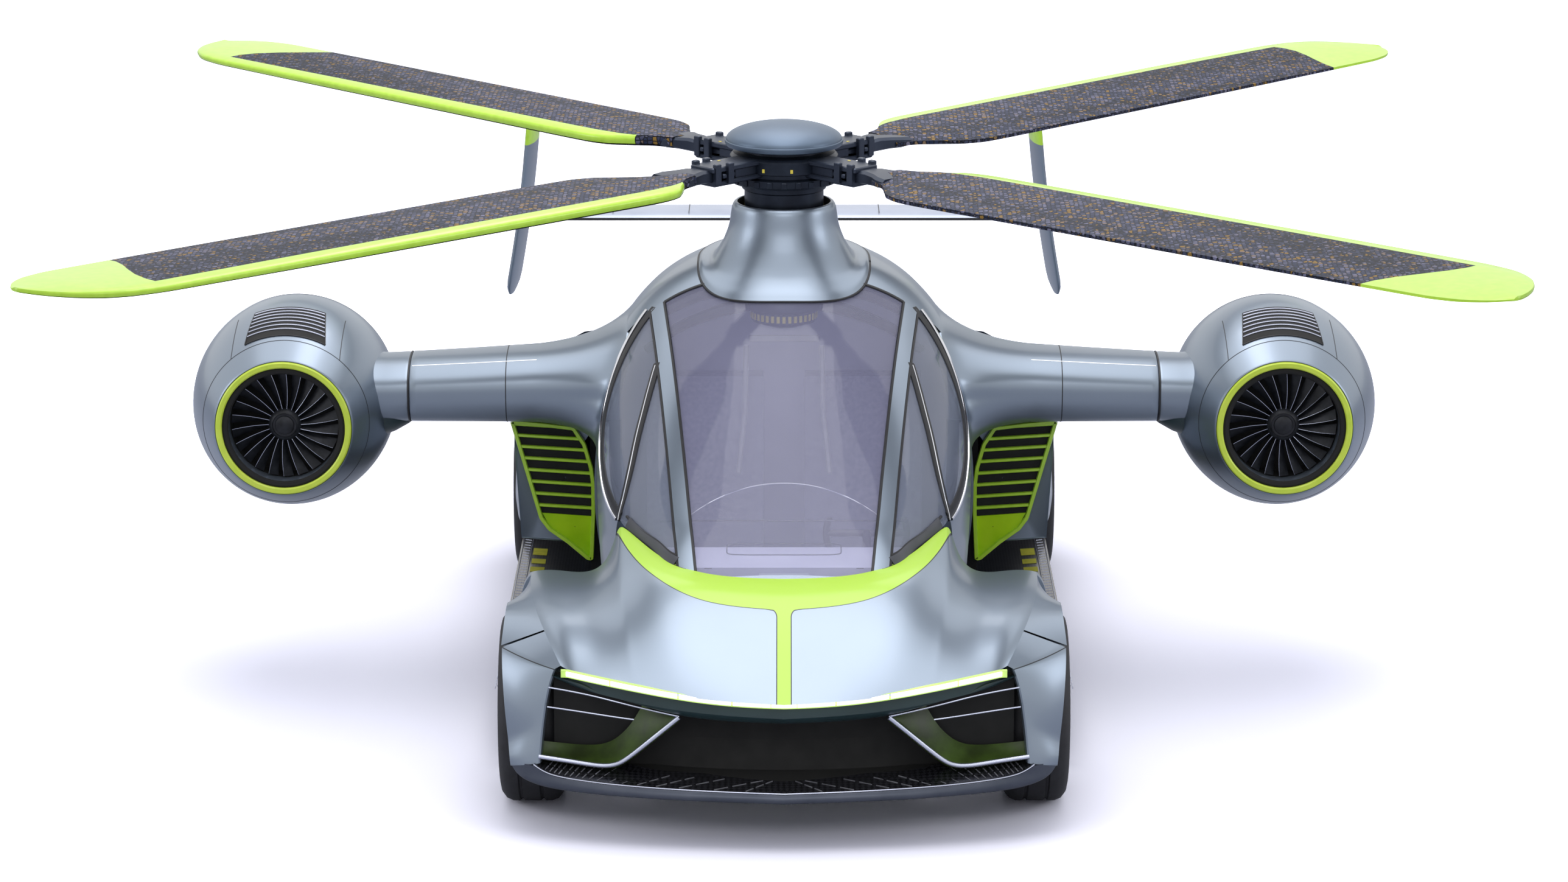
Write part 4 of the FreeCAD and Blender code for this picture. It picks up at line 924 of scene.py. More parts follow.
# %% [markdown]
# Outboard of the crease the fender folds down to the wheel arch, which is a true arc round the wheel.
# Columns follow the arc by angle, so the arch edge is round and not stepped. The bumper facet is a
# ruled sheet between the arch edge and the upright edge of the duct mouth.

# %% Fender sides and bumper facets
front_wheel_y, front_wheel_z, arch_radius = -1.400, 0.340, 0.363
side_bottom_z = 0.245
# Upright edge of the duct mouth, top to bottom (x, y, z)
FACET_INNER = [(.797, -1.800, .592), (.806, -1.802, .570), (.822, -1.815, .520), (.835, -1.826, .440),
               (.846, -1.842, .350), (.852, -1.856, .268)]


def rail_point(y):
    """Point of the fender crease at y."""
    rail = hood_points[-1]
    order = np.argsort(rail[:, 1])
    return np.stack([np.interp(y, rail[order, 1], rail[order, k]) for k in range(3)], axis=-1)


def fender_columns():
    """Crease, shoulder control and lower edge of each column, rear to front."""
    angle = np.radians(np.linspace(2.0, 128.0, 70))
    y = front_wheel_y + arch_radius * np.cos(angle)
    z = front_wheel_z + arch_radius * np.sin(angle)
    x = np.interp(z, [0.25, 0.45, 0.62, 0.705], [0.972, 0.988, 0.990, 0.982]) - 0.012 * smoothstep(-1.15,
            -0.985, y)
    rear_y = np.linspace(-0.985, y[0] + 0.0005, 5)
    rear = xyz(0.945, rear_y, side_bottom_z)
    return np.concatenate([rear, xyz(x, y, z)])


def fender_side():
    low = fender_columns()
    crease = rail_point(low[:, 1])
    bend = crease * 0.35 + low * 0.65
    bend[:, 2] = np.minimum(crease[:, 2] - 0.010, low[:, 2] + 0.45 * (crease[:, 2] - low[:, 2]))
    bend[:5, 0], bend[:5, 2] = 0.988, 0.655
    straight = smoothstep(len(low) - 26, len(low) - 1, np.arange(len(low)))[:, None]
    bend = bend * (1 - straight) + (crease + low) / 2 * straight
    share = np.linspace(0.0, 1.0, 16)[None, :, None]
    c, b, l = crease[:, None], bend[:, None], low[:, None]
    skin = c * (1 - share) ** 2 + 2 * b * share * (1 - share) + l * share ** 2
    lip = low[:, None] + np.array([[0.0, 0, 0], [-0.014, 0, 0.0], [-0.07, 0, 0.004]])[None]
    return skin, lip


def facet():
    """Front bumper facet, and the small panel above its seam."""
    s = np.linspace(0.0, 1.0, 24)
    z = 0.622 + (0.250 - 0.622) * s
    reach = np.sqrt(arch_radius ** 2 - (z - front_wheel_z) ** 2)
    y = front_wheel_y - reach - 0.004 - 0.055 * smoothstep(0.75, 1.0, s)
    outer = xyz(0.986 - 0.034 * s ** 1.3, y, z)
    inner = spline_path(FACET_INNER, 24)
    t = np.linspace(0.0, 1.0, 20)[None, :, None]
    bow = np.array([0.004, -0.012, 0.0]) * (4 * t * (1 - t))
    lower = outer[:, None] * (1 - t) + inner[:, None] * t + bow
    rail_y = np.linspace(outer[0, 1], -1.80, 20)
    rail = rail_point(rail_y)
    down = np.linspace(0, 1, 6)[:, None, None]
    upper = rail[None] * (1 - down) + lower[0][None] * down
    return lower, upper, outer, inner


fender, arch_lip = fender_side()
lower_facet, upper_facet, facet_outer, facet_inner = facet()
shell = Shell()
shell.grid(fender, mirror=True)
shell.grid(arch_lip, mirror=True)
shell.grid(lower_facet, mirror=True)
shell.grid(upper_facet, mirror=True)
# The facet turns round its lower edge and its outer edge into the arch
shell.grid(np.stack([facet_outer, facet_outer + [-0.010, 0.012, 0.0], facet_outer + [-0.07, 0.03, 0.0]]),
           mirror=True)
shell.grid(np.stack([facet_inner, facet_inner + [-0.006, 0.004, 0.0], facet_inner + [-0.012, 0.020, 0.0]]),
           mirror=True)
last_row = lower_facet[-1]
shell.grid(np.stack([last_row, last_row + [0, 0.006, -0.006], last_row + [0, 0.03, -0.008]]), mirror=True)
made = shell.build("fender_skins", body_paint, smooth_deg=28)
finish_piece(made, "body", "body_paint", "front_body")

seam_line = lower_facet[0]
seam_shell = Shell()
strip(seam_shell, seam_line, [0.45, -0.75, 0.48], 0.0032, 0.0012)
seam_shell.finish("fender_seams", gasket, "dark_plastic")

# %% [markdown]
# The face below the hood is dark. A teal recess holds the light bar, ducts sit either side, their dark
# inside painted shade on a near-black tray, and a painted strut runs from each duct's floor up to the
# brow. Its bright rolled edge is what the eye reads first, so it is a real rounded tube and not a
# painted line.

# %% Light recess and brow
# The brow's lower edge, then the middle of the light bar. Columns: x, y, z
BROW_LOW = [(0, -1.944, .441), (.183, -1.930, .443), (.36, -1.908, .452), (.508, -1.872, .490),
            (.597, -1.854, .520), (.700, -1.837, .551), (.803, -1.812, .572)]
BAR = [(0, -2.013, .527), (.174, -1.999, .527), (.372, -1.974, .545), (.594, -1.926, .578),
       (.750, -1.874, .598)]


def rows_between(first, second, rows, push=(0, 0, 0)):
    t = np.linspace(0.0, 1.0, rows)[:, None, None]
    return first[None] * (1 - t) + second[None] * t + np.array(push, float) * (4 * t * (1 - t))


hood_front = hood_points[:, -1]
nose_line = hood_front[:: 3]
brow_line = spline_path(BROW_LOW, len(nose_line))
recess = Shell()
lip_in = nose_line + [0, 0.014, -0.004]
recess_back = nose_line + [0, 0.040, -0.020]
recess_floor = xyz(nose_line[:, 0], nose_line[:, 1] + 0.034, nose_line[:, 2] - 0.062)
recess.grid(np.concatenate([np.stack([nose_line, lip_in, recess_back, recess_floor]),
                            rows_between(recess_floor, brow_line, 6, (0, -0.006, 0))[1:]]), mirror=True)
recess.grid(np.stack([brow_line, brow_line + [0, 0.010, -0.004], brow_line + [0, 0.15, -0.004]]),
            mirror=True)
recess.finish("brow_panel", brow_dark, "dark_plastic", smooth_deg=40)

bar_breaks = [(-.043, .043), (.046, .176), (.181, .361), (.367, .597), (.602, .752)]
bar_shell, glow_shell = Shell(), Shell()
bar_path = spline_path(BAR, 200)
for first, last in bar_breaks:
    mirrored = first > 0
    x = np.linspace(first, last, 24)
    path = xyz(x, np.interp(np.abs(x), bar_path[:, 0], bar_path[:, 1]), np.interp(np.abs(x), bar_path[:, 0],
            bar_path[:, 2]))
    ring = np.array([(0.0, .0085), (-.006, .0075), (-.010, .004), (-.010, -.004), (-.006, -.0075),
                     (0.0, -.0085), (.018, -.007), (.018, .007)])
    bar_shell.grid(np.stack([path + [0, a, b] for a, b in ring], axis=1), wrap_columns=True, close_ends=True,
                   mirror=mirrored)
bar_shell.finish("light_segments", lamp, "lamp_white", "light_bar")
x = np.linspace(-.770, .770, 121)
spine = xyz(x, np.interp(np.abs(x), bar_path[:, 0], bar_path[:, 1]), np.interp(np.abs(x), bar_path[:, 0],
        bar_path[:, 2]))
ring = np.array([(.002, .0110), (.020, .0110), (.020, -.0135), (.002, -.0135)])
glow_shell.grid(np.stack([spine + [0, a, b] for a, b in ring], axis=1), wrap_columns=True, close_ends=True)
glow_shell.finish("light_housing", lamp_glow, "dark_plastic")

# %% [markdown]
# Struts and strakes are bars along smooth paths: a ring of points is carried along each path and
# closed at both ends. A bar keeps a highlight of its own from every side.

# %% Ducts, struts and strakes
STRUT = [(.850, -1.852, .292), (.776, -1.862, .284), (.702, -1.872, .275), (.635, -1.885, .268),
         (.580, -1.890, .272), (.530, -1.893, .305), (.434, -1.900, .390), (.362, -1.908, .452)]
STRUT_BACK = [(.840, -1.790, .330), (.742, -1.785, .316), (.675, -1.789, .314), (.630, -1.794, .318),
              (.590, -1.796, .335), (.555, -1.799, .366), (.525, -1.800, .401), (.492, -1.800, .462)]
STRAKES = [[(.815, -1.826, .535), (.700, -1.842, .520), (.597, -1.858, .497), (.508, -1.876, .479),
            (.434, -1.893, .466), (.362, -1.908, .455)],
           [(.820, -1.834, .467), (.701, -1.849, .455), (.597, -1.864, .440), (.519, -1.870, .432)]]


def tube(shell, path, radius, sides=10, mirror=True, squash=(1.0, 1.0)):
    """A round bar along a path, closed at both ends."""
    path = np.asarray(path, float)
    along = np.gradient(path, axis=0)
    along /= np.linalg.norm(along, axis=1, keepdims=True)
    up = np.where(np.abs(along[:, 2:3]) < 0.9, np.array([[0, 0, 1.0]]), np.array([[0, 1.0, 0]]))
    side = np.cross(along, up)
    side /= np.linalg.norm(side, axis=1, keepdims=True)
    lift = np.cross(side, along)
    angle = np.linspace(0, 2 * np.pi, sides, endpoint=False)
    radius = np.broadcast_to(np.asarray(radius, float), (len(path),))[:, None, None]
    ring = path[:, None] + radius * (squash[0] * np.cos(angle)[None, :, None] * side[:, None] + squash[1]
                                     * np.sin(angle)[None, :, None] * lift[:, None])
    shell.grid(ring, wrap_columns=True, close_ends=True, mirror=mirror)
    return shell


strut, strut_back = spline_path(STRUT, 50), spline_path(STRUT_BACK, 50)
rim_shell = Shell()
tube(rim_shell, strut, 0.0085, 12)
rim_shell.finish("strut_rims", strut_silver, "body_paint")
strut_shell = Shell()
strut_shell.grid(rows_between(strut, strut_back, 8, (0, 0, -0.006)), mirror=True)
strut_shell.grid(rows_between(strut, strut + [0, .05, -.03], 3), mirror=True)
strut_shell.finish("strut_faces", duct_green, "dark_plastic", smooth_deg=60, outward=False)
strake_shell = Shell()
for strake in STRAKES:
    tube(strake_shell, spline_path(strake, 30), 0.0028, 6)
strake_shell.finish("duct_strakes", strut_silver, "body_paint")


# Rows of the tray from its foot up. Columns: depth behind the nose, height
TRAY = ((0.02, 0.205), (0.16, 0.240), (0.20, 0.340), (0.20, 0.500), (0.10, 0.575))
# The tray ends ahead of the steered wheels and between them
tray_half, tray_back_y = 0.800, -1.775


def fascia_backing():
    """Black tray behind every opening of the face: it closes the nose off from the light, and its near-black
    colour is painted shade for the dark inside the openings.
    """
    x = np.linspace(-tray_half, tray_half, 61)
    front = -2.0 + 0.29 * np.abs(x / 0.9) ** 2.2
    shell = Shell()
    shell.grid(np.stack([xyz(x, np.minimum(front + depth, tray_back_y), z) for depth, z in TRAY]))
    return shell.finish("fascia_backing", black_and_painted_shade, "dark_plastic", smooth_deg=20)


fascia_backing()

# %% [markdown]
# The lip is one blade across the whole nose. Its top is woven carbon, and the glints its weave catches
# in diagonal flecks are painted on as short grey strokes: painted highlights. Its front edge is a
# smooth satin band.

# %% Front lip
LIP_TOP = [(0, -2.025, .212), (.256, -2.012, .216), (.551, -1.965, .221), (.700, -1.928, .229),
           (.790, -1.902, .236), (.835, -1.884, .247), (.868, -1.868, .268)]
LIP_LOW = [(0, -2.037, .183), (.329, -2.017, .187), (.551, -1.977, .189), (.760, -1.922, .192),
           (.888, -1.870, .203), (.944, -1.818, .228), (.953, -1.798, .262)]
lip_top, lip_low = spline_path(LIP_TOP, 80), spline_path(LIP_LOW, 80)
lip_shell = Shell()
bevel = np.array([0.0, 0.003, 0.003])
lip_shell.grid(np.concatenate([rows_between(lip_top - bevel, lip_low, 5, (0, -0.005, 0)),
                               np.stack([lip_low + [-.002, .006, -.006], lip_low + [-.01, .10, -.010]])]),
               mirror=True)
lip_shell.finish("lip_band", lip_satin, "carbon", smooth_deg=50)
edge_shell = Shell()
tube(edge_shell, lip_top, 0.0028, 6)
edge_shell.finish("lip_edge", strut_silver, "carbon")
shelf = Shell()
shelf_back = xyz(lip_top[:, 0] * 0.97, lip_top[:, 1] + 0.15, np.interp(lip_top[:, 0], [0, .45, .62, .87],
        [.225, .235, .262, .285]))
shelf.grid(rows_between(lip_top, shelf_back, 8), mirror=True)
# Short grey strokes on the shelf are painted highlights, standing for the glints of the weave
glint_dashes = Shell()
for k in range(17):
    share = 0.06 + 0.9 * k / 17
    row = int(share * 79)
    front, back = lip_top[row], shelf_back[max(row - 9, 0)]
    for a, b in ((.08, .26), (.32, .50), (.56, .72)):
        piece = np.array([front + (back - front) * a, front + (back - front) * b]) + [0, 0, .0015]
        strip(glint_dashes, piece, [0, -.1, 1.0], 0.0035, 0.0010)
glint_dashes.finish("lip_painted_glints", painted_glint_grey, "carbon")
shelf.finish("lip_shelf", lip_weave, "carbon", "front_splitter", smooth_deg=50)

# %% [markdown]
# Each blade is a long aerofoil with a blunt nose. Its planform is drawn by two edges over the radius:
# the leading edge is nearly straight, the trailing edge flares out of the root, and both round off at
# the tip. The lime nose strip and the lime cap are grids of their own that share their border with
# the weave, so the border stays crisp at any distance.

# %% Rotor blades
hub_plane_z, blade_slope, blade_tip_r = 2.040, math.tan(math.radians(0.45)), 3.466
# Planform. Columns: radius, leading edge, trailing edge
PLAN = np.array([(0.53, 0.075, -0.078), (0.60, 0.098, -0.100), (0.68, 0.165, -0.165), (0.76, 0.222, -0.232),
                 (0.86, 0.240, -0.262), (1.00, 0.242, -0.266),
                 (2.40, 0.242, -0.266), (3.05, 0.240, -0.264), (3.20, 0.222, -0.262), (3.32, 0.165, -0.240),
                 (3.40, 0.080, -0.195), (3.445, -0.010, -0.145), (3.462, -0.070, -0.115)])
# Section round the blade from the nose's lower edge, over the top, to the trailing edge and back.
# Columns: share of chord, share of thickness
STRIP = [(0.012, -0.30), (0.002, -0.10), (0.000, 0.12), (0.006, 0.30), (0.022, 0.42), (1.0, 0.47)]
WEAVE = [(0.0, 0.47), (0.12, 0.50), (0.30, 0.49), (0.50, 0.41), (0.70, 0.28), (0.88, 0.12), (1.0, -0.02),
         (1.0, -0.34), (0.90, -0.42),
         (0.60, -0.48), (0.20, -0.50), (0.035, -0.47), (0.014, -0.38)]
strip_width = 0.064


def blade_grid(section, inner_r, outer_r, rows, strip_part):
    """Grid of a blade's skin between two radii, each given for every point of the section."""
    section = np.array(section, float)
    inner_r, outer_r = (np.broadcast_to(np.asarray(v, float), (len(section),)) for v in (inner_r, outer_r))
    u = np.linspace(0.0, 1.0, rows)[:, None]
    r = inner_r[None] + (outer_r - inner_r)[None] * u
    lead, trail = curve_at(PLAN[:, :2], r), curve_at(PLAN[:, [0, 2]], r)
    width = (strip_width * smoothstep(0.60, 0.78, r) + 0.004) * np.clip((lead - trail) / 0.505, 0.25, 1.0)
    thick = np.interp(r, [0.53, 0.86, 2.4, 3.3, 3.466], [0.044, 0.044, 0.038, 0.030, 0.016])
    share, height = section[None, :, 0], section[None, :, 1]
    if strip_part:
        across = lead - np.where(share < 0.5, share * (lead - trail), width)
    else:
        from_border = share * (lead - width - trail)
        under = (np.arange(len(section)) >= 7)[None]
        across = np.where(under, lead - share * (lead - trail), lead - width - from_border)
    z = hub_plane_z + blade_slope * r + height * thick
    return xyz(r, across, z)


def cap_border(share):
    """Radius where the lime cap starts, by share of chord: it steps in towards the trailing edge."""
    return 3.085 - 0.135 * smoothstep(0.05, 0.95, share) + 0.030 * np.sin(np.pi * np.clip(share, 0, 1))


def blades():
    lime_shell, weave_shell = Shell(), Shell()
    strip_section, weave_section = np.array(STRIP), np.array(WEAVE)
    strip_border = cap_border(np.where(strip_section[:, 0] > 0.5, 0.08, 0.0))
    weave_border = cap_border(weave_section[:, 0] * 0.92 + 0.08)
    grids = [(lime_shell, blade_grid(STRIP, 0.66, strip_border, 90, True)),
             (lime_shell, blade_grid(STRIP, strip_border, blade_tip_r - .004, 30, True)),
             (lime_shell, blade_grid(WEAVE, weave_border, blade_tip_r - .004, 30, False)),
             (weave_shell, blade_grid(STRIP, 0.53, 0.66, 10, True)),
             (weave_shell, blade_grid(WEAVE, 0.53, weave_border, 110, False))]
    for quarter_turn in range(4):
        turn = turn_about_z(45.0 + 90.0 * quarter_turn)
        for shell, grid in grids:
            shell.grid(grid @ turn)
        tip_ring = np.concatenate([grids[1][1][-1], grids[2][1][-1][1:]])
        hub_point = tip_ring.mean(axis=0) + [0.002, 0, 0]
        lime_shell.grid(np.stack([tip_ring, tip_ring * 0.02 + hub_point * 0.98]) @ turn)
    lime_made = lime_shell.build("blade_lime", lime_finish, smooth_deg=38)
    weave_made = weave_shell.build("blade_skins", blade_finish, smooth_deg=38)
    finish_piece(weave_made, "rotor", "blade_weave", "rotor_blades")
    finish_piece(lime_made, "rotor", "lime_paint")


blades()

# %% [markdown]
# The hub is turned and stepped: mast, drum, a ring of small lamps, the clamp plate and a neck under
# the domed cap. Four forked clamps with pins hold the blade arms. All of it turns as one body.

# %% Rotor hub and cap
def revolve(shell, profile, sides=96, centre=(0.0, 0.0), axis="z"):
    """A turned solid from (radius, height) pairs; a radius of 0 closes an end on the axis."""
    profile = np.asarray(profile, float)
    angle = np.linspace(0, 2 * np.pi, sides, endpoint=False)
    r, h = profile[:, :1], profile[:, 1:]
    c, s = np.cos(angle)[None], np.sin(angle)[None]
    across, up = centre[0] + r * c, centre[1] + r * s
    grid = xyz(across, up, h) if axis == "z" else xyz(across, h, up)
    shell.grid(grid, wrap_columns=True)
    return shell


def bevel_box(shell, low, high, bevel=0.004, turn_deg=0.0):
    """A box with its edges chamfered, turned about the vertical axis through the origin."""
    (x0, y0, z0), (x1, y1, z1) = low, high
    rows = []
    for z, inset in ((z0, bevel), (z0 + bevel, 0.0), (z1 - bevel, 0.0), (z1, bevel)):
        a, c, d, e = x0 + inset, x1 - inset, y0 + inset, y1 - inset
        ring = [(a + bevel, d), (c - bevel, d), (c, d + bevel), (c, e - bevel),
                (c - bevel, e), (a + bevel, e), (a, e - bevel), (a, d + bevel)]
        rows.append([(x, y, z) for x, y in ring])
    shell.grid(np.array(rows) @ turn_about_z(turn_deg), wrap_columns=True, close_ends=True)
    return shell


# Sections of one blade arm. Columns: radius, half width, top z, lower z
BLADE_ARM = ((.300, .044, 2.050, 2.022), (.430, .046, 2.062, 2.014), (.470, .052, 2.066, 2.016),
             (.520, .066, 2.064, 2.020), (.560, .086, 2.062, 2.022), (.600, .090, 2.058, 2.026))


def hub():
    turned, lights, arms = Shell(), Shell(), Shell()
    revolve(turned, [(0, 1.62), (.062, 1.62), (.062, 1.79), (.143, 1.80), (.149, 1.806), (.149, 1.93),
                     (.158, 1.936), (.158, 1.952), (.196, 1.960),
                     (.203, 1.968), (.203, 1.992), (.185, 1.998), (.185, 2.012), (.203, 2.018),
                     (.203, 2.062), (.192, 2.074), (.150, 2.078), (.150, 2.097), (0, 2.097)])
    for k in range(24):
        bevel_box(turned, (.196, -.011, 1.966), (.208, .011, 1.990), .002, k * 15.0)
    for k in range(12):
        bevel_box(lights, (.150, -.016, 1.846), (.1505, .016, 1.872), .0002, k * 30.0 + 15)
        bevel_box(lights, (.2035, -.005, 2.026), (.2055, .005, 2.040), .0005, k * 30.0 + 8)
    for k in range(4):
        deg = 45.0 + 90.0 * k
        # fork plates above and below the blade arm, a block between them and two pins
        bevel_box(arms, (.150, -.061, 2.052), (.430, .061, 2.073), .004, deg)
        bevel_box(arms, (.150, -.061, 2.003), (.400, .061, 2.020), .004, deg)
        bevel_box(arms, (.150, -.048, 2.018), (.300, .048, 2.054), .003, deg)
        bevel_box(arms, (.300, -.058, 2.000), (.420, .058, 2.020), .003, deg)
        for r, w in ((.345, .074), (.405, .068)):
            bevel_box(arms, (r - .014, -w, 2.008), (r + .014, -w + .022, 2.086), .003, deg)
            bevel_box(arms, (r - .014, w - .022, 2.008), (r + .014, w, 2.086), .003, deg)
        bevel_box(arms, (.366, -.070, 2.030), (.384, .070, 2.046), .003, deg)
        for side in (-.036, .036):
            bevel_box(lights, (.300, side - .004, 2.0735), (.312, side + .004, 2.0745), .0003, deg)
        rings = []
        for r, half, up, down in BLADE_ARM:
            flat = half - .012
            rings.append([(r, half, down + .006), (r, half, up - .010), (r, flat, up), (r, -flat, up),
                          (r, -half, up - .010), (r, -half, down + .006), (r, -flat, down), (r, flat, down)])
        arms.grid(np.array(rings) @ turn_about_z(deg), wrap_columns=True, close_ends=True)
    turned.finish("hub_turned", hub_metal, "dark_metal", "rotor_hub", body="rotor", smooth_deg=30)
    arms.finish("hub_arms", arm_metal, "dark_metal", body="rotor", smooth_deg=30)
    lights.finish("hub_lights", amber_lamp, "lamp_white", body="rotor")
    cap = Shell()
    dome = [(.2185 * math.sin(a), 2.121 + .064 * math.cos(a)) for a in np.linspace(0.0, np.pi / 2, 24)]
    revolve(cap, [(0, 2.185)] + dome[1:] + [(.2215, 2.119), (.2225, 2.112), (.2185, 2.101), (.205, 2.096),
            (0, 2.096)])
    cap.finish("cap_dome", cap_paint, "body_paint", "rotor_cap", body="rotor", smooth_deg=40)


hub()

# %% [markdown]
# The mast fairing is lofted from rounded rectangles: nearly round at its collar, wide and long where
# it lands on the roof. Its skirt flares out over the windscreen's head.

# %% Mast fairing
# Columns: z, half width, front y, rear y, corner power
FAIRING = np.array([(1.884, .184, -.184, .190, 2.0), (1.876, .192, -.192, .198, 2.0),
                    (1.860, .196, -.196, .206, 2.0), (1.800, .206, -.206, .240, 2.05),
                    (1.740, .226, -.224, .300, 2.15),
                    (1.690, .252, -.246, .360, 2.3), (1.650, .278, -.268, .430, 2.5),
                    (1.622, .300, -.290, .500, 2.7), (1.600, .312, -.312, .560, 2.9),
                    (1.578, .322, -.330, .620, 3.0)])


def fairing_ring(z, half, front, rear, power, sides=120):
    angle = np.linspace(0, 2 * np.pi, sides, endpoint=False)
    c, s = np.cos(angle), np.sin(angle)
    radius = (np.abs(c) ** power + np.abs(s) ** power) ** (-1.0 / power)
    length = np.where(s > 0, rear, -front)
    return xyz(half * radius * c, length * radius * s, z)


def fairing():
    z = np.concatenate([[1.884, 1.880, 1.872], np.linspace(1.86, 1.578, 40)])
    rings = np.stack([fairing_ring(zz, *[float(curve_at(FAIRING[::-1][:, [0, k]], zz)) for k in (1, 2, 3,
            4)]) for zz in z])
    # the skirt follows the roof: its lower points drop where the roof falls away at the sides
    low = rings[-1]
    roof = canopy_z(low[:, 0], low[:, 1], 0.004)
    share = smoothstep(0.70, 1.0, np.linspace(0, 1, len(z)))[:, None]
    rings[..., 2] = rings[..., 2] * (1 - share) + (rings[..., 2] + (roof - low[:, 2])[None]) * share
    shell = Shell()
    collar = np.stack([rings[0] * [.955, .955, 1], rings[0] * [.945, .945, 1] + [0, 0, -.006],
                       rings[0] * [.945, .945, 1] + [0, 0, -.10]])
    shell.grid(np.concatenate([collar[::-1], rings, (rings[-1] * [.985, .985, 1] + [0, 0, -.004])[None]]),
               wrap_columns=True)
    shell.finish("fairing_skin", body_paint, "body_paint", "mast_fairing", smooth_deg=50)
    dark = Shell()
    tube_ring = rings[-1] + [0, 0, -.002]
    loop = np.concatenate([tube_ring, tube_ring[:1]])
    strip(dark, loop, [0, 0, 1.0], 0.012, 0.004, mirror=False)
    revolve(dark, [(.173, 1.884), (.173, 1.76), (.0, 1.76)], 64)
    dark.finish("fairing_gasket", gasket, "dark_plastic")


fairing()

# %% [markdown]
# The stub wing is a loft of rounded sections. Its root sweeps into the bubble by a fillet: every
# point of the section's outline follows a quadratic curve that starts on the bubble, along the skin,
# and ends along the wing. The start points stay clear of the window's bright edge.

# %% Stub wings
# Columns: x, leading edge y, trailing edge y, low z, high z
WING = np.array([(0.56, -0.238, 0.345, 1.018, 1.350), (0.83, -0.222, 0.262, 1.042, 1.327),
                 (1.18, -0.212, 0.236, 1.046, 1.306), (1.56, -0.203, 0.210, 1.048, 1.286)])
wing_sides = 96
pod_x, pod_z = 1.862, 1.103


def wing_ring(x, swell=0.0):
    """Section outline at x as a closed loop: blunt in front, finer behind."""
    lead, trail, low, high = (np.interp(x, WING[:, 0], WING[:, k]) for k in (1, 2, 3, 4))
    angle = np.linspace(0, 2 * np.pi, wing_sides, endpoint=False)
    c, s = np.cos(angle), np.sin(angle)
    power = np.where(c > 0, 2.0, 2.7)
    radius = (np.abs(c) ** power + np.abs(s) ** power) ** (-1.0 / power)
    y = (lead + trail) / 2 + ((trail - lead) / 2 + swell) * radius * c
    z = (low + high) / 2 + ((high - low) / 2 + swell) * radius * s - 0.02 * smoothstep(0.2, 1.0, c)
    return xyz(float(x), y, z)


def wing_root():
    ring = wing_ring(0.72)
    y, z = ring[:, 1], ring[:, 2]
    cy, cz = y.mean(), z.mean()
    out = np.stack([y - cy, (z - cz) * 1.5], axis=-1)
    out /= np.linalg.norm(out, axis=1, keepdims=True)
    spread = 0.05 + 0.075 * smoothstep(-0.3, 0.8, out[:, 0]) + 0.055 * np.abs(out[:, 1])
    start_y, start_z = y + out[:, 0] * spread, z + out[:, 1] * spread
    rim = spline_path(RIM_REAR, 200)
    rim_y = np.interp(start_z, rim[:, 1], rim[:, 0])
    start_y = np.maximum(start_y, rim_y + 0.030)
    start = xyz(canopy_x(start_z, start_y), start_y, start_z)
    middle = xyz(canopy_x(z, y) + 0.015, y * 0.92 + start_y * 0.08, z * 0.92 + start_z * 0.08)
    x_end = 0.93
    end = wing_ring(x_end)
    t = np.linspace(0, 1, 28)[:, None, None]
    fillet = start[None] * (1 - t) ** 2 + 2 * middle[None] * t * (1 - t) + end[None] * t ** 2
    return np.concatenate([(start - [0.03, 0, 0])[None], fillet])


def wings():
    shell, dark, white = Shell(), Shell(), Shell()
    outer = np.stack([wing_ring(x) for x in np.linspace(0.95, 1.405, 20)])
    edge = np.stack([wing_ring(1.410, -0.004), wing_ring(1.412, -0.012)])
    shell.grid(np.concatenate([wing_root(), outer, edge]), wrap_columns=True, mirror=True)
    collar = np.stack([wing_ring(1.413, -0.010), wing_ring(1.416, -0.002), wing_ring(1.425, 0.0),
                       wing_ring(1.50, 0.001), wing_ring(1.56, 0.008)])
    shell.grid(collar, wrap_columns=True, close_ends=True, mirror=True)
    shell.finish("wing_skins", body_paint, "body_paint", "stub_wings", "wing_pylons", smooth_deg=40)
    for x, width in ((1.045, 0.0035), (1.4125, 0.006)):
        ring = wing_ring(x)
        loop = np.concatenate([ring, ring[:1]])
        out = loop - loop.mean(axis=0)
        out /= np.linalg.norm(out, axis=1, keepdims=True)
        strip(dark, loop, out, width, 0.0009)
    dark.finish("wing_seams", gasket, "dark_plastic")
    k = int(round(wing_sides * (180 - 52) / 360))
    line = np.stack([wing_ring(x)[k] for x in np.linspace(0.93, 1.40, 30)])
    strip(white, line, [0, -0.6, 0.8], 0.0035, 0.0010)
    white.finish("wing_front_seams", bright_edge, "dark_plastic")
    bracket = Shell()
    rows = []
    for x, low, lead, trail in ((1.37, 1.075, -.10, .06), (1.42, 1.035, -.15, .10), (1.47, 1.005, -.17, .13),
                                (1.54, .975, -.18, .15), (1.62, .985, -.15, .14)):
        angle = np.linspace(0, 2 * np.pi, 32, endpoint=False)
        rows.append(xyz(x, (lead + trail) / 2 + (trail - lead) / 2 * np.cos(angle),
                        np.where(np.sin(angle) < 0, 1.10 + (1.10 - low) * np.sin(angle),
                                 1.10 + .02 * np.sin(angle))))
    bracket.grid(np.array(rows), wrap_columns=True, close_ends=True, mirror=True)
    bracket.finish("wing_brackets", brow_dark, "dark_plastic", smooth_deg=50)


wings()

# %% [markdown]
# A pod is turned about its fan axis: the outer skin follows the arc through lip, waist and exit, and
# rolls over into the duct. The duct's near-black wall is partly its own dark colour and partly painted
# shade of its depth. On its crown is a grille: a near-black patch on the skin with fine bars, the
# patch painted shade for the openings between the bars.

# %% Fan pods
pod_front_y, pod_rear_y = -0.400, 0.560


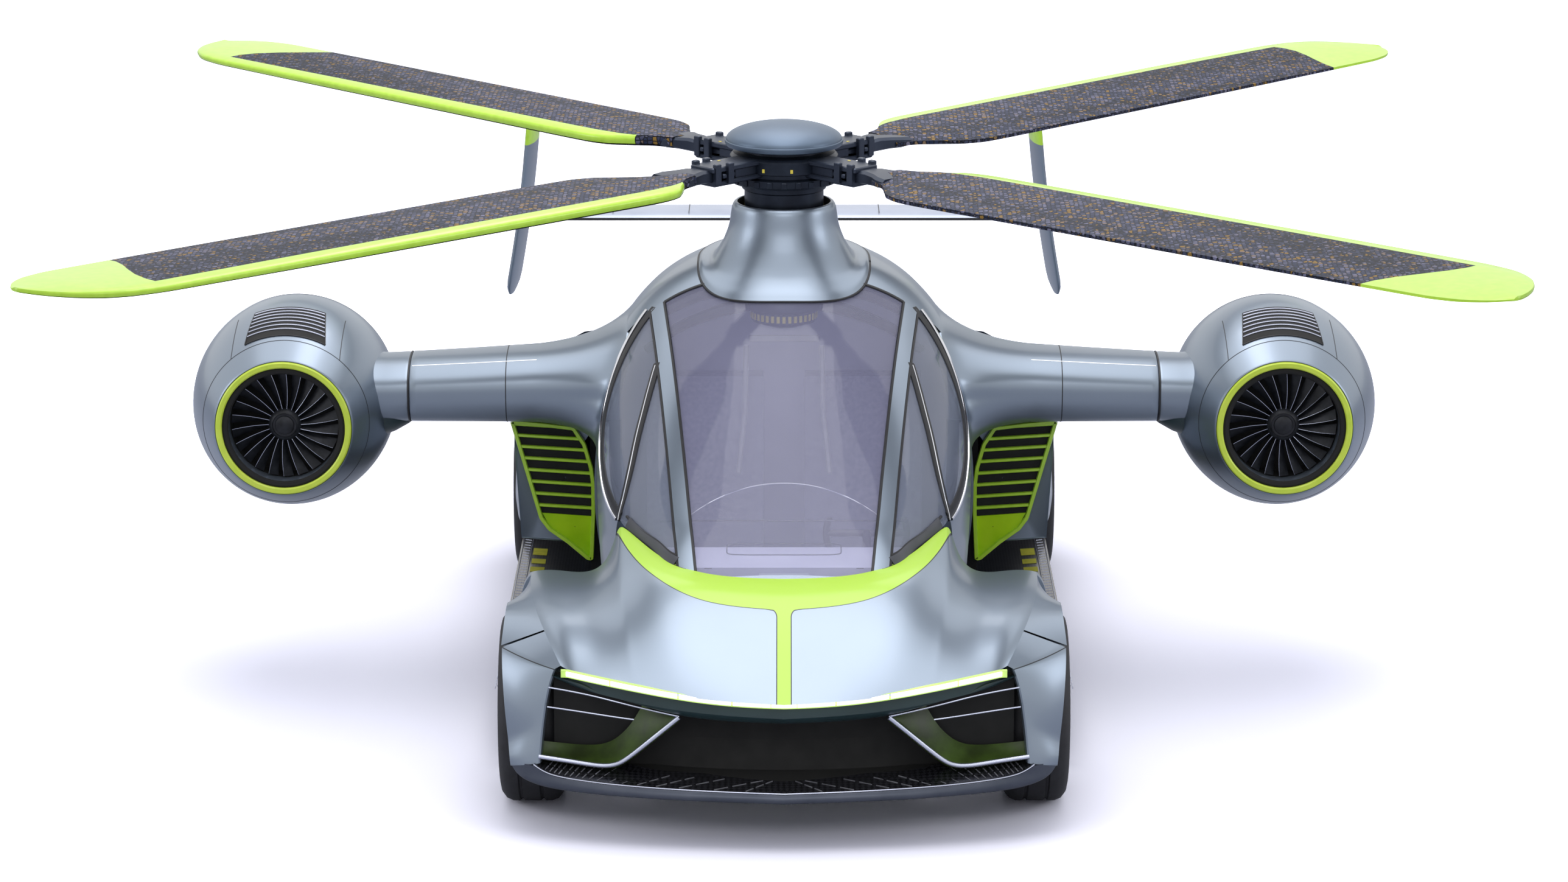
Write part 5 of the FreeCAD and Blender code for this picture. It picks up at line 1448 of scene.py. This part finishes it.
def arc_through(a, b, c, samples):
    """Points of the circle through three points of a plane, from the first to the last."""
    (ax, ay), (bx, by), (cx, cy) = a, b, c
    d = 2 * (ax * (by - cy) + bx * (cy - ay) + cx * (ay - by))
    ux = ((ax * ax + ay * ay) * (by - cy) + (bx * bx + by * by) * (cy - ay) + (cx * cx + cy * cy)
          * (ay - by)) / d
    uy = ((ax * ax + ay * ay) * (cx - bx) + (bx * bx + by * by) * (ax - cx) + (cx * cx + cy * cy)
          * (bx - ax)) / d
    r = math.hypot(ax - ux, ay - uy)
    t0, t1 = math.atan2(ay - uy, ax - ux), math.atan2(cy - uy, cx - ux)
    if t0 < t1:
        t0 += 2 * math.pi
    t = np.linspace(t0, t1, samples)
    return np.stack([ux + r * np.cos(t), uy + r * np.sin(t)], axis=-1)


pod_arc = arc_through((pod_front_y, 0.262), (0.020, 0.384), (pod_rear_y, 0.246), 70)


def pod_radius(y):
    return np.interp(y, pod_arc[:, 0], pod_arc[:, 1])


def pod_skin_point(x, y, lift):
    """A point on the crown of the left pod over (x, y)."""
    z = pod_z + np.sqrt(np.maximum((pod_radius(y) + lift) ** 2 - (x - pod_x) ** 2, 0.0))
    return xyz(x, y, z)


def pods():
    shell, ring, black, bars, seams = Shell(), Shell(), Shell(), Shell(), Shell()
    profile = [(r, y) for y, r in pod_arc]
    roll = [(.2575, -.4055), (.2555, -.4060), (.2545, -.4030)]
    profile = [(.206, -.330), (.208, -.380), (.216, -.395), (.228, -.401)] + [(.2285, -.398),
            (.2535, -.398)] + roll[::-1] + profile + [(.238, .566), (.228, .560), (.206, .50)]
    # near-black duct wall: partly its own colour, partly painted shade of the duct's depth
    inner = [(.206, .50), (.206, .25), (.206, -.330)]
    for side in (1.0, -1.0):
        revolve(shell, profile, 128, (side * pod_x, pod_z), "y")
        revolve(black, inner, 96, (side * pod_x, pod_z), "y")
        revolve(ring, [(.2285, -.399), (.2295, -.4095), (.234, -.4135), (.248, -.4135), (.2525, -.4095),
                       (.2535, -.399)], 128, (side * pod_x, pod_z), "y")
        revolve(black, [(.2050, -.398), (.2100, -.405), (.2205, -.4075), (.2285, -.403)], 128,
                (side * pod_x, pod_z), "y")
        # fixed disc and centre body behind the fan, near-black: partly their own colour, partly painted shade
        revolve(black, [(0, -.262), (.050, -.262), (.058, -.25), (.2065, -.245), (.2065, -.20), (.075, -.19),
                        (.058, .03), (.03, .085), (0, .09)], 64, (side * pod_x, pod_z), "y")
        for y0, width in ((-.300, .0030), (.235, .0030)):
            angle = np.linspace(0, 2 * np.pi, 129)
            r = pod_radius(y0)
            loop = xyz(side * pod_x + r * np.cos(angle), y0, pod_z + r * np.sin(angle))
            out = xyz(np.cos(angle), np.zeros(129) - 0.3, np.sin(angle))
            strip(seams, loop, out / np.linalg.norm(out, axis=1, keepdims=True), width, 0.0009, mirror=False)
    u, v = np.meshgrid(np.linspace(0, 1, 24), np.linspace(0, 1, 24), indexing="ij")
    half = 0.150 - 0.018 * u
    y = -0.272 + 0.225 * u
    x = pod_x + half * (2 * v - 1)
    patch = pod_skin_point(x, y, 0.0015)
    normal = patch - np.array([pod_x, 0.02, pod_z])
    normal = normal / np.linalg.norm(normal, axis=-1, keepdims=True)
    # the grille patch is near-black: painted shade for the openings under the bars
    sheet(black, patch, normal, 0.010)
    for k in range(8):
        share = (k + 0.5) / 8
        yk = -0.272 + 0.225 * share
        xk = pod_x + (0.150 - 0.018 * share) * np.linspace(-0.985, 0.985, 24)
        line = pod_skin_point(xk, np.full(24, yk), 0.003)
        if k:
            tube(bars, line, 0.0032, 6)
    rim_line = np.concatenate([patch[0], patch[1:, -1], patch[-1, -2::-1], patch[-2:0:-1, 0], patch[:1, 0]])
    rim_out = rim_line - np.array([pod_x, 0.02, pod_z])
    rim_out /= np.linalg.norm(rim_out, axis=1, keepdims=True)
    strip(seams, rim_line, rim_out, 0.004, 0.0025)
    for offset in (-0.205, 0.200):
        yk = np.linspace(-0.298, -0.02, 20)
        line = pod_skin_point(np.full(20, pod_x + offset), yk, 0.0)
        out = line - np.array([pod_x, 0.02, pod_z])
        strip(seams, line, out / np.linalg.norm(out, axis=1, keepdims=True), 0.0028, 0.0009)
    shell.finish("pod_skins", body_paint, "body_paint", "pod_shells", smooth_deg=40)
    ring.finish("pod_lime_rings", ring_lime, "lime_paint", "pod_rings", smooth_deg=40)
    black.finish("pod_ducts", black_and_painted_shade, "dark_plastic", "fan_stators", smooth_deg=40, outward=False)
    bars.finish("pod_grille_bars", strut_silver, "body_paint")
    seams.finish("pod_seams", gasket, "dark_plastic")


pods()

# %% [markdown]
# A ducted fan has many thin blades with a strong twist. Each blade is a thin plate between a leading
# and a trailing edge, worked out along the radius, and a loop turns it round the axis.

# %% Ducted fans
def fan(side, label):
    """Spinner and 22 thin twisted blades, each with a bright leading edge."""
    blades_shell, edges = Shell(), Shell()
    centre = np.array([side * pod_x, 0.0, pod_z])
    revolve(blades_shell, [(0, -.368), (.020, -.368), (.034, -.362), (.036, -.358), (.044, -.358),
                           (.046, -.362), (.056, -.356), (.0625, -.345), (.0625, -.300), (.05, -.290),
                           (0, -.290)],
            64, (side * pod_x, pod_z), "y")
    for k in range(22):
        base = 2 * np.pi * k / 22
        r = np.linspace(.060, .199, 14)
        sweep = base + 0.10 * (r - .06) / .139
        pitch = np.interp(r, [.06, .2], [0.95, 0.45])
        chord = np.interp(r, [.06, .2], [.020, .040])
        tangent = xyz(-np.sin(sweep), 0.0, np.cos(sweep))
        spoke = xyz(np.cos(sweep), 0.0, np.sin(sweep))
        lead = centre + spoke * r[:, None] + [0, -.348, 0]
        along = tangent * np.cos(pitch)[:, None] + np.array([0, 1.0, 0]) * np.sin(pitch)[:, None]
        trail = lead + along * chord[:, None]
        lift = np.cross(along, spoke) * 0.0012
        blades_shell.grid(np.stack([lead + lift, trail + lift, trail - lift, lead - lift], axis=1),
                          wrap_columns=True, close_ends=True)
        tube(edges, lead, 0.0011, 5, mirror=False)
    body = label + "_fan"
    blades_shell.finish("fan_blades_" + label, fan_dark, "fan_metal", "fan_" + label, body=body,
                        smooth_deg=30)
    edges.finish("fan_edges_" + label, strut_silver, "fan_metal", body=body)


fan(1.0, "left")
fan(-1.0, "right")

# %% [markdown]
# The louvre panel faces forward between the bubble and the rear haunch: a near-black plate that is
# painted shade for the dark behind the slots, a lime rolled border, thin lime bars in front of the
# plate, and a glossy lime wedge at its foot.

# %% Louvre panels
LOUVRE_EDGE = [(1.044, 1.037), (0.92, 1.025), (0.801, 1.010), (0.759, 0.944), (0.732, 0.846), (0.724, 0.778),
               (0.724, 0.660), (0.733, 0.472), (0.748, 0.474),
               (0.825, 0.541), (0.901, 0.596), (0.933, 0.640), (0.968, 0.765)]
SLOT_LEFT = [(1.021, 1.016), (1.009, .972), (.996, .928), (.983, .883), (.971, .837), (.958, .791),
             (.945, .744), (.929, .697)]
SLOT_RIGHT = [(.789, 1.000), (.773, .956), (.757, .912), (.745, .867), (.738, .821), (.735, .775),
              (.734, .729), (.733, .684)]
# Section of one bar. Columns: y ahead of the plate, z under the slot
LOUVRE_BAR = [(-.008, 0.0), (-.012, -.002), (-.012, -.010), (-.006, -.013), (.004, -.010), (.004, -.001)]
louvre_y = 0.016


def louvres():
    lime_shell, black = Shell(), Shell()
    edge = np.array(LOUVRE_EDGE)
    closed = np.concatenate([edge, edge[:1]])
    t = np.linspace(0, 1, 121)
    loop = np.stack([np.interp(t, np.linspace(0, 1, len(closed)), closed[:, k]) for k in range(2)], axis=-1)
    path = xyz(loop[:, 0], louvre_y, loop[:, 1])
    forward = [0, -1.0, 0]
    middle = edge.mean(axis=0)
    inset = path + (np.array([middle[0], louvre_y, middle[1]]) - path) * 0.045
    strip(lime_shell, inset, forward, 0.016, 0.016)
    # dark wall between the panel and the bubble: a near-black sheet that stands for painted shade
    black.grid(np.array([[(.74, louvre_y + .012, .25), (.74, louvre_y + .012, 1.02)],
                         [(.62, louvre_y + .05, .25), (.62, louvre_y + .05, 1.02)]]), mirror=True)
    hub_point = np.array([.835, louvre_y + .008, .80])
    black.grid(np.stack([inset + [0, .004, 0], inset * 0.5 + hub_point * 0.5, inset * 0.02 + hub_point
                         * 0.98]), mirror=True)
    # one bar under each slot
    for k in range(8):
        left, right = np.array(SLOT_LEFT[k]) + [0.006, 0.006], np.array(SLOT_RIGHT[k]) + [-0.004, 0.006]
        x, z = np.linspace(left, right, 12).T
        lime_shell.grid(np.stack([xyz(x, louvre_y + dy, z + dz) for dy, dz in LOUVRE_BAR], axis=1),
                        wrap_columns=True, close_ends=True, mirror=True)
    foot = [(0.925, 0.664), (0.733, 0.650), (0.733, 0.490), (0.749, 0.490), (0.825, 0.553), (0.893, 0.604)]
    foot_3d = np.array([(x, louvre_y - 0.003, z) for x, z in foot])
    centre = np.array([.800, louvre_y - .002, .610])
    t = np.linspace(0, 1, 61)
    closed = np.concatenate([foot_3d, foot_3d[:1]])
    rim = np.stack([np.interp(t, np.linspace(0, 1, 7), closed[:, k]) for k in range(3)], axis=-1)
    wedge = Shell()
    wedge.grid(np.stack([rim + [0, .012, 0], rim, rim * .75 + centre * .25, rim * .02 + centre * .98]),
               mirror=True)
    wedge.finish("louvre_wedges", gloss_lime, "lime_paint", "louvre_panels", smooth_deg=60)
    lime_shell.finish("louvre_frames", lime_finish, "lime_paint")
    black.finish("louvre_plates", black_and_painted_shade, "dark_plastic")


louvres()

# %% [markdown]
# The haunch is a loft of sections from the bubble over the shoulder. Where the wheel arch cuts a
# section, its points slide up the flank, so that the edge of the skin is the arch itself.

# %% Rear haunches
# Outline of a cross section from the bubble over the shoulder and down. Columns: y, then x and z of
# five points: inner top, shoulder start, outer edge, lower edge, inner bottom
HAUNCH = [(0.034, (0.70, 1.035), (0.90, 1.036), (1.036, 1.034), (1.006, 0.56), (0.72, 0.535)),
          (0.120, (0.70, 1.045), (0.90, 1.046), (1.045, 1.036), (1.004, 0.55), (0.72, 0.530)),
          (0.500, (0.66, 1.070), (0.88, 1.062), (1.052, 1.010), (1.045, 0.53), (0.72, 0.515)),
          (1.000, (0.52, 1.085), (0.84, 1.076), (1.056, 0.960), (1.080, 0.52), (0.72, 0.500)),
          (1.300, (0.46, 1.060), (0.82, 1.058), (1.050, 0.930), (1.084, 0.56), (0.72, 0.500)),
          (1.620, (0.42, 1.010), (0.78, 1.010), (1.040, 0.890), (1.080, 0.60), (0.72, 0.500)),
          (1.900, (0.40, 0.950), (0.74, 0.960), (0.990, 0.850), (1.040, 0.60), (0.70, 0.480)),
          (2.060, (0.36, 0.900), (0.66, 0.910), (0.900, 0.800), (0.950, 0.58), (0.64, 0.470))]
rear_wheel_y, rear_wheel_z, rear_arch_r = 1.620, 0.355, 0.382
deck_front_y = 1.300


def haunches():
    table_y = np.array([row[0] for row in HAUNCH])
    corner = np.array([[list(p) for p in row[1:]] for row in HAUNCH])
    y = np.unique(np.concatenate([np.linspace(0.034, 2.060, 60), rear_wheel_y + rear_arch_r
                                  * np.cos(np.linspace(0, np.pi, 40))]))
    t = np.linspace(0, 1, 40)
    rows = []
    for yy in y:
        c = np.stack([[float(curve_at(np.stack([table_y, corner[:, k, j]], axis=-1), yy)) for j in range(2)]
                      for k in range(5)])
        path = [c[0], c[1], c[2] * .35 + c[1] * .65, c[2], c[2] * .6 + c[3] * .4, c[3] * .8 + c[2] * .2,
                c[3]]
        curve = spline_path(path, 40)
        arch = rear_arch_r ** 2 - (yy - rear_wheel_y) ** 2
        low = rear_wheel_z + math.sqrt(arch) if arch > 0 else -1.0
        if low > c[3][1]:
            # slide the lower points up the flank so that the edge is the wheel arch
            order = np.argsort(curve[:, 1])
            keep = np.clip(np.interp(low, curve[order, 1], order.astype(float)), 1, 39)
            index = np.linspace(0, keep, 40)
            curve = np.stack([np.interp(index, np.arange(40), curve[:, j]) for j in range(2)], axis=-1)
        rows.append(xyz(curve[:, 0], yy, curve[:, 1]))
    grid = np.array(rows)
    shell = Shell()
    shell.grid(grid, mirror=True)
    # a level deck closes the gap behind the cowl, from one haunch to the other
    deck = grid[y > deck_front_y, 0]
    shell.grid(np.stack([deck, deck * [0, 1, 1], deck * [-1, 1, 1]]))
    low = grid[:, -1]
    shell.grid(np.stack([low, low + [-.015, 0, -.002], low * [0, 1, 1] + [0.73, 0, 0]]), mirror=True)
    front = grid[0]
    foot_line = np.linspace(front[-1], (.73, front[0, 1], .535), 8)[1:]
    front = np.concatenate([front, foot_line])
    inner = xyz(front[:, 0] * .97 + .022, front[:, 1] + .004, front[:, 2] * .985 + .012)
    middle = np.array([.84, front[0, 1] + .006, .82])
    shell.grid(np.stack([front, inner, inner * .5 + middle * .5, inner * .02 + middle * .98]), mirror=True)
    back = grid[-1]
    shell.grid(np.stack([back, back * [.2, 1, 1] + [0, .05, 0], back * [-.2, 1, 1] + [0, .05, 0],
                         back * [-1, 1, 1]]))
    shell.finish("haunch_skins", body_paint, "body_paint", smooth_deg=35)


haunches()


def without(node, keep, name, material, body, slot):
    """A copy of a solid node without the faces whose centre a test rejects, cut along level lines."""
    made, work = merged_copy(node, name)
    for level, direction in (((0, 0, .50), (0, 0, 1)), ((0, 1.24, 0), (0, 1, 0)), ((0, 2.0, 0), (0, 1, 0))):
        bmesh.ops.bisect_plane(work, geom=work.verts[:] + work.edges[:] + work.faces[:], plane_co=level,
                               plane_no=direction)
    bmesh.ops.delete(work, geom=[f for f in work.faces if not keep(f.calc_center_median())], context="FACES")
    work.to_mesh(made.data)
    work.free()
    made.data.materials.clear()
    made.data.materials.append(material)
    return finish_piece(made, body, slot, node)


without("rear_body", lambda c: c.y > 1.24 and (c.z < 0.5 or c.y > 2.0), "rear_body_rest", body_paint, "body",
        "body_paint")

# %% [markdown]
# The steps are carbon planks. Near their outer edge are black and yellow marks in paint, a pale
# grip strip, and a bright edge. Marks are thin raised plates, so they hold from any side.

# %% Side steps
def steps():
    plank, marks, grip = Shell(), Shell(), Shell()
    y = np.linspace(-.960, 1.180, 60)
    outer = 1.066 - 0.030 * smoothstep(-.5, -.96, y)
    ring = [(0.0, .243), (-.004, .2455), (-.40, .2455), (-.505, .240), (-.505, .208), (-.01, .205),
            (0.0, .209)]
    plank.grid(np.stack([xyz(outer + dx, y, z) for dx, z in ring], axis=1), wrap_columns=True,
               close_ends=True, mirror=True)
    plank.finish("step_planks", step_weave, "carbon", "side_steps")
    for y0, y1 in ((.90, 1.00), (.775, .845), (.655, .725), (.535, .605)):
        marks.grid(np.array([[(.955, y0, .2470), (.955, y1, .2470)], [(1.012, y0 + .012, .2470),
                (1.012, y1 + .012, .2470)]]), mirror=True)
    marks.finish("step_marks", step_yellow, "lime_paint", outward=False)
    for x in (1.020, 1.058):
        path = xyz(x, np.linspace(-.9, 1.17, 40), .2455)
        strip(grip, path, [0, 0, 1.0], 0.003, 0.0015)
    for k in range(52):
        yk = -.88 + k * .0395
        path = np.array([(1.026, yk, .2455), (1.052, yk + .012, .2455)])
        strip(grip, path, [0, 0, 1.0], 0.004, 0.0015)
    grip.finish("step_grips", strut_silver, "carbon")


steps()

# %% [markdown]
# The tail is a level stabiliser between two upright fins. Sections are thin rounded aerofoils. The
# fins lean in towards the top, toe out a little and carry a lime tip that starts at a level line.

# %% Tail
def aerofoil(samples=28):
    """Outline of a thin aerofoil of unit chord and unit thickness, from the nose round and back."""
    t = np.linspace(0, 2 * np.pi, samples, endpoint=False)
    along = 0.5 - 0.5 * np.cos(t)
    thick = 0.5 * np.sin(t) * np.where(along < 0.3, 1.0, 1.0 - 0.55 * (along - 0.3))
    return along, thick


def fins():
    along, thick = aerofoil()
    shell, lime_shell = Shell(), Shell()
    z = np.concatenate([[1.052, 1.056, 1.066, 1.085], np.linspace(1.12, 1.78, 24),
                        [1.80, 1.815, 1.825, 1.829]])
    share = (z - 1.05) / 0.78
    x = 1.152 - 0.102 * share - 0.012 * np.sin(np.pi * share)
    chord = 0.235 * np.clip(((z - 1.045) / 0.05) ** 0.5, 0.2, 1.0) * np.clip(((1.836 - z) / 0.05) ** 0.5,
            0.2, 1.0)
    front = 2.09 + 0.05 * (1 - chord / 0.235) + 0.03 * share
    width = 0.040 * np.clip(chord / 0.235, 0.3, 1.0)
    toe = math.radians(10.0)
    rows = []
    for xx, zz, c, f, w in zip(x, z, chord, front, width):
        local_y, local_x = along * c, thick * w
        rows.append(xyz(xx + local_x * math.cos(toe) - (local_y - c / 2) * math.sin(toe), f + local_y
                        * math.cos(toe) + local_x * math.sin(toe), zz))
    grid = np.array(rows)
    cut = 24
    shell.grid(grid[:cut + 1], wrap_columns=True, close_ends=True, mirror=True)
    lime_shell.grid(grid[cut:], wrap_columns=True, close_ends=True, mirror=True)
    shell.finish("fin_skins", body_paint, "body_paint", "tail_fins", smooth_deg=45)
    lime_shell.finish("fin_tips", lime_finish, "lime_paint", smooth_deg=45)


def stabiliser():
    along, thick = aerofoil(36)
    x = np.linspace(-1.098, 1.098, 41)
    shell, dark = Shell(), Shell()
    rows = [xyz(xx, 2.075 + .268 * along, 1.392 + .040 * thick) for xx in x]
    shell.grid(np.array(rows), wrap_columns=True, close_ends=True)
    shell.finish("stabiliser_skin", pale_paint, "body_paint", "stabiliser", smooth_deg=45)
    path = xyz(x, 2.0755, 1.386)
    strip(dark, path, [0, -1.0, 0], 0.010, 0.002, mirror=False)
    for xx in (-.72, -.40, .40, .72):
        line = np.array([(xx, 2.10, 1.412), (xx, 2.20, 1.4125), (xx, 2.30, 1.406)])
        strip(dark, line, [0, 0, 1.0], 0.003, 0.0008, mirror=False)
    dark.finish("stabiliser_seams", gasket, "dark_plastic")


fins()
stabiliser()

# %% [markdown]
# Tyres are turned with two grooves and a rounded shoulder. They stay light, because all four share
# one small budget of triangles. They stay light, with 36 steps round each. The rubber's bump gives
# a fine grain, not tread blocks.

# %% Tyres
def tyre(node, side, x, y, radius, width, rim_r):
    half = width / 2
    r, w = radius, half
    profile = [(rim_r, -w + .020), (rim_r + .030, -w + .003), ((rim_r + r) / 2, -w), (r - .030, -w + .004),
               (r - .009, -w + .020), (r, -w + .042),
               (r, -w * .40), (r - .007, -w * .36), (r - .007, -w * .30), (r, -w * .26), (r, w * .26),
               (r - .007, w * .30), (r - .007, w * .36), (r, w * .40),
               (r, w - .042), (r - .009, w - .020), (r - .030, w - .004), ((rim_r + r) / 2, w),
               (rim_r + .030, w - .003), (rim_r, w - .020)]
    sides = 36
    angle = np.linspace(0, 2 * np.pi, sides, endpoint=False)
    rows = [xyz(side * x + a, y + rr * np.cos(angle), radius + rr * np.sin(angle)) for rr, a in profile]
    shell = Shell()
    shell.grid(np.array(rows), wrap_rows=True, wrap_columns=True)
    return shell.finish(node + "_skin", rubber, "tyre_rubber", node, body=node_body[node], smooth_deg=50)


for end, x, y, radius, width in (("front", 0.890, -1.400, 0.340, 0.224), ("rear", 0.965, 1.620, 0.355,
        0.290)):
    for side, label in ((1.0, "left"), (-1.0, "right")):
        tyre("tyre_" + end + "_" + label, side, x, y, radius, width, radius - 0.096)

# %% [markdown]
# Behind the glass are the things that can be read in the photograph: the dark gearbox with an amber
# ribbed band, two dark arms to the cabin's sides, a pale bar with two legs on the rear wall, a thin
# white arc over the dashboard, an inset outline on its top and a small tab at the glass's foot.

# %% Cabin details
def cabin_details():
    dark, amber, pale, line, tab = Shell(), Shell(), Shell(), Shell(), Shell()
    revolve(dark, [(0, 1.405), (.060, 1.405), (.066, 1.412), (.118, 1.424), (.124, 1.432), (.124, 1.470),
                   (.150, 1.478), (.154, 1.486), (.154, 1.560), (.140, 1.580), (0, 1.590)], 72)
    for k in range(36):
        bevel_box(amber, (.1242, -.006, 1.438), (.1275, .006, 1.464), .001, k * 10.0)
    arm = through_path([(.13, -.05, 1.500), (.26, -.03, 1.460), (.40, .04, 1.385), (.52, .10, 1.285)], 20)
    tube(dark, arm, np.linspace(.034, .022, 20), 10, squash=(1.0, 0.8))
    arm = through_path([(.12, .04, 1.520), (.30, .10, 1.500), (.46, .16, 1.420)], 16)
    tube(dark, arm, .020, 8)
    bevel_box(pale, (-.135, .235, 1.285), (.135, .245, 1.310), .003)
    for side in (1.0, -1.0):
        leg = np.array([(side * .145, .24, 1.27), (side * .150, .20, 1.02), (side * .175, .10, .80)])
        tube(pale, leg, .010, 6, mirror=False)
    x = np.linspace(-.36, .36, 61)
    arc = xyz(x, -.95 + .112 * (x / .36) ** 2, 1.035 - .165 * (np.abs(x) / .36) ** 2.1)
    tube(line, arc, .0022, 6, mirror=False)
    dash = xyz(x * 1.25, -.99 + .10 * (x / .36) ** 2, .905 - .03 * (np.abs(x) / .36) ** 2.4)
    tube(dark, dash, .0035, 6, mirror=False)
    t = np.linspace(0, 2 * np.pi, 97)
    c, s = np.cos(t), np.sin(t)
    radius = (np.abs(c) ** 7 + np.abs(s) ** 7) ** (-1 / 7)
    loop = xyz(.205 * radius * c, -1.12 + .075 * radius * s, .835)
    strip(dark, loop, [0, 0, 1.0], .0035, .001, mirror=False)
    for side in (1.0, -1.0):
        bevel_box(dark, (side * .270 - .014, -1.300, .812), (side * .270 + .014, -1.296, .815), .001)
    bevel_box(tab, (-.088, -1.372, .8035), (.088, -1.340, .8075), .001)
    dark.finish("cabin_dark_parts", gasket, "dark_metal", "mast_gearbox", smooth_deg=35)
    amber.finish("gearbox_ribs", amber_lamp, "dark_metal")
    pale.finish("cabin_bar", pale_trim, "cabin_trim")
    line.finish("dash_arc", bright_edge, "cabin_trim")
    tab.finish("hood_tab", pale_paint, "body_paint")


cabin_details()

# %% [markdown]
# The studio is a white floor that keeps the car's soft shadow, a white world, and large soft lamps.
# The floor is made brighter for the camera alone by Light Path, so the lamps can stay low and the
# paint keeps its own colour.

# %% Studio
def studio():
    world = bpy.data.worlds.new("studio_world")
    bpy.context.scene.world = world
    world.use_nodes = True
    tree = world.node_tree
    background = tree.nodes["Background"]
    path = add(tree, "ShaderNodeLightPath")
    seen = add(tree, "ShaderNodeMath", operation="MAXIMUM")
    tree.links.new(path.outputs["Is Camera Ray"], seen.inputs[0])
    tree.links.new(path.outputs["Is Transmission Ray"], seen.inputs[1])
    all_seen = add(tree, "ShaderNodeMath", operation="MAXIMUM")
    tree.links.new(seen.outputs["Value"], all_seen.inputs[0])
    tree.links.new(path.outputs["Is Glossy Ray"], all_seen.inputs[1])
    strength = add(tree, "ShaderNodeMapRange", {"To Min": 0.55, "To Max": 1.0})
    tree.links.new(all_seen.outputs["Value"], strength.inputs["Value"])
    colour = mix_colours(tree, all_seen.outputs["Value"], (0.86, 0.88, 1.0), (1.0, 1.0, 1.0))
    tree.links.new(colour, background.inputs["Color"])
    tree.links.new(strength.outputs["Result"], background.inputs["Strength"])
    size = 60.0
    floor = mesh_object("studio_floor", [(-size, -size, 0), (size, -size, 0), (size, size, 0),
            (-size, size, 0)],
                        [(0, 1, 2, 3)], bpy.data.materials.new("studio_floor"))
    paper = floor.data.materials[0]
    paper.use_nodes = True
    tree = paper.node_tree
    shader = tree.nodes["Principled BSDF"]
    shader.inputs["Roughness"].default_value = 0.9
    shader.inputs["Specular IOR Level"].default_value = 0.0
    path = add(tree, "ShaderNodeLightPath")
    place = add(tree, "ShaderNodeTexCoord")
    length = add(tree, "ShaderNodeVectorMath", operation="LENGTH")
    tree.links.new(place.outputs["Object"], length.inputs[0])
    reach = add(tree, "ShaderNodeMapRange", {"From Min": 2.0, "From Max": 9.0})
    tree.links.new(length.outputs["Value"], reach.inputs["Value"])
    shown = mix_colours(tree, reach.outputs["Result"], (1.36, 1.34, 1.44), (2.9, 2.9, 2.9))
    colour = mix_colours(tree, path.outputs["Is Camera Ray"], (0.56, 0.57, 0.62), shown)
    tree.links.new(colour, shader.inputs["Base Color"])


def soft_lamp(name, place, target, size, power, colour=(1.0, 1.0, 1.0)):
    data = bpy.data.lights.new(name, "AREA")
    data.shape = "RECTANGLE"
    data.size, data.size_y = size
    data.energy = power
    data.color = colour
    made = bpy.data.objects.new(name, data)
    made.location = place
    direction = np.array(target, float) - np.array(place, float)
    made.rotation_euler = Vector(direction).to_track_quat("-Z", "Y").to_euler()
    bpy.context.scene.collection.objects.link(made)
    return made


studio()
soft_lamp("ceiling_strip", (0.0, 1.0, 6.5), (0.0, 1.0, 0.0), (2.2, 10.0), 150.0, (0.97, 0.97, 1.0))
soft_lamp("ceiling_panel", (0.0, 1.0, 8.0), (0.0, 0.5, 0.0), (12.0, 12.0), 420.0, (0.96, 0.97, 1.0))
soft_lamp("front_lamp", (0.0, -12.0, 7.0), (0.0, 0.0, 0.8), (7.0, 3.0), 150.0, (0.95, 0.96, 1.0))
soft_lamp("left_lamp", (9.0, -2.0, 4.0), (0.0, 0.0, 0.8), (4.0, 3.0), 110.0, (0.93, 0.95, 1.0))
soft_lamp("right_lamp", (-9.0, -2.0, 4.0), (0.0, 0.0, 0.8), (4.0, 3.0), 110.0, (0.93, 0.95, 1.0))
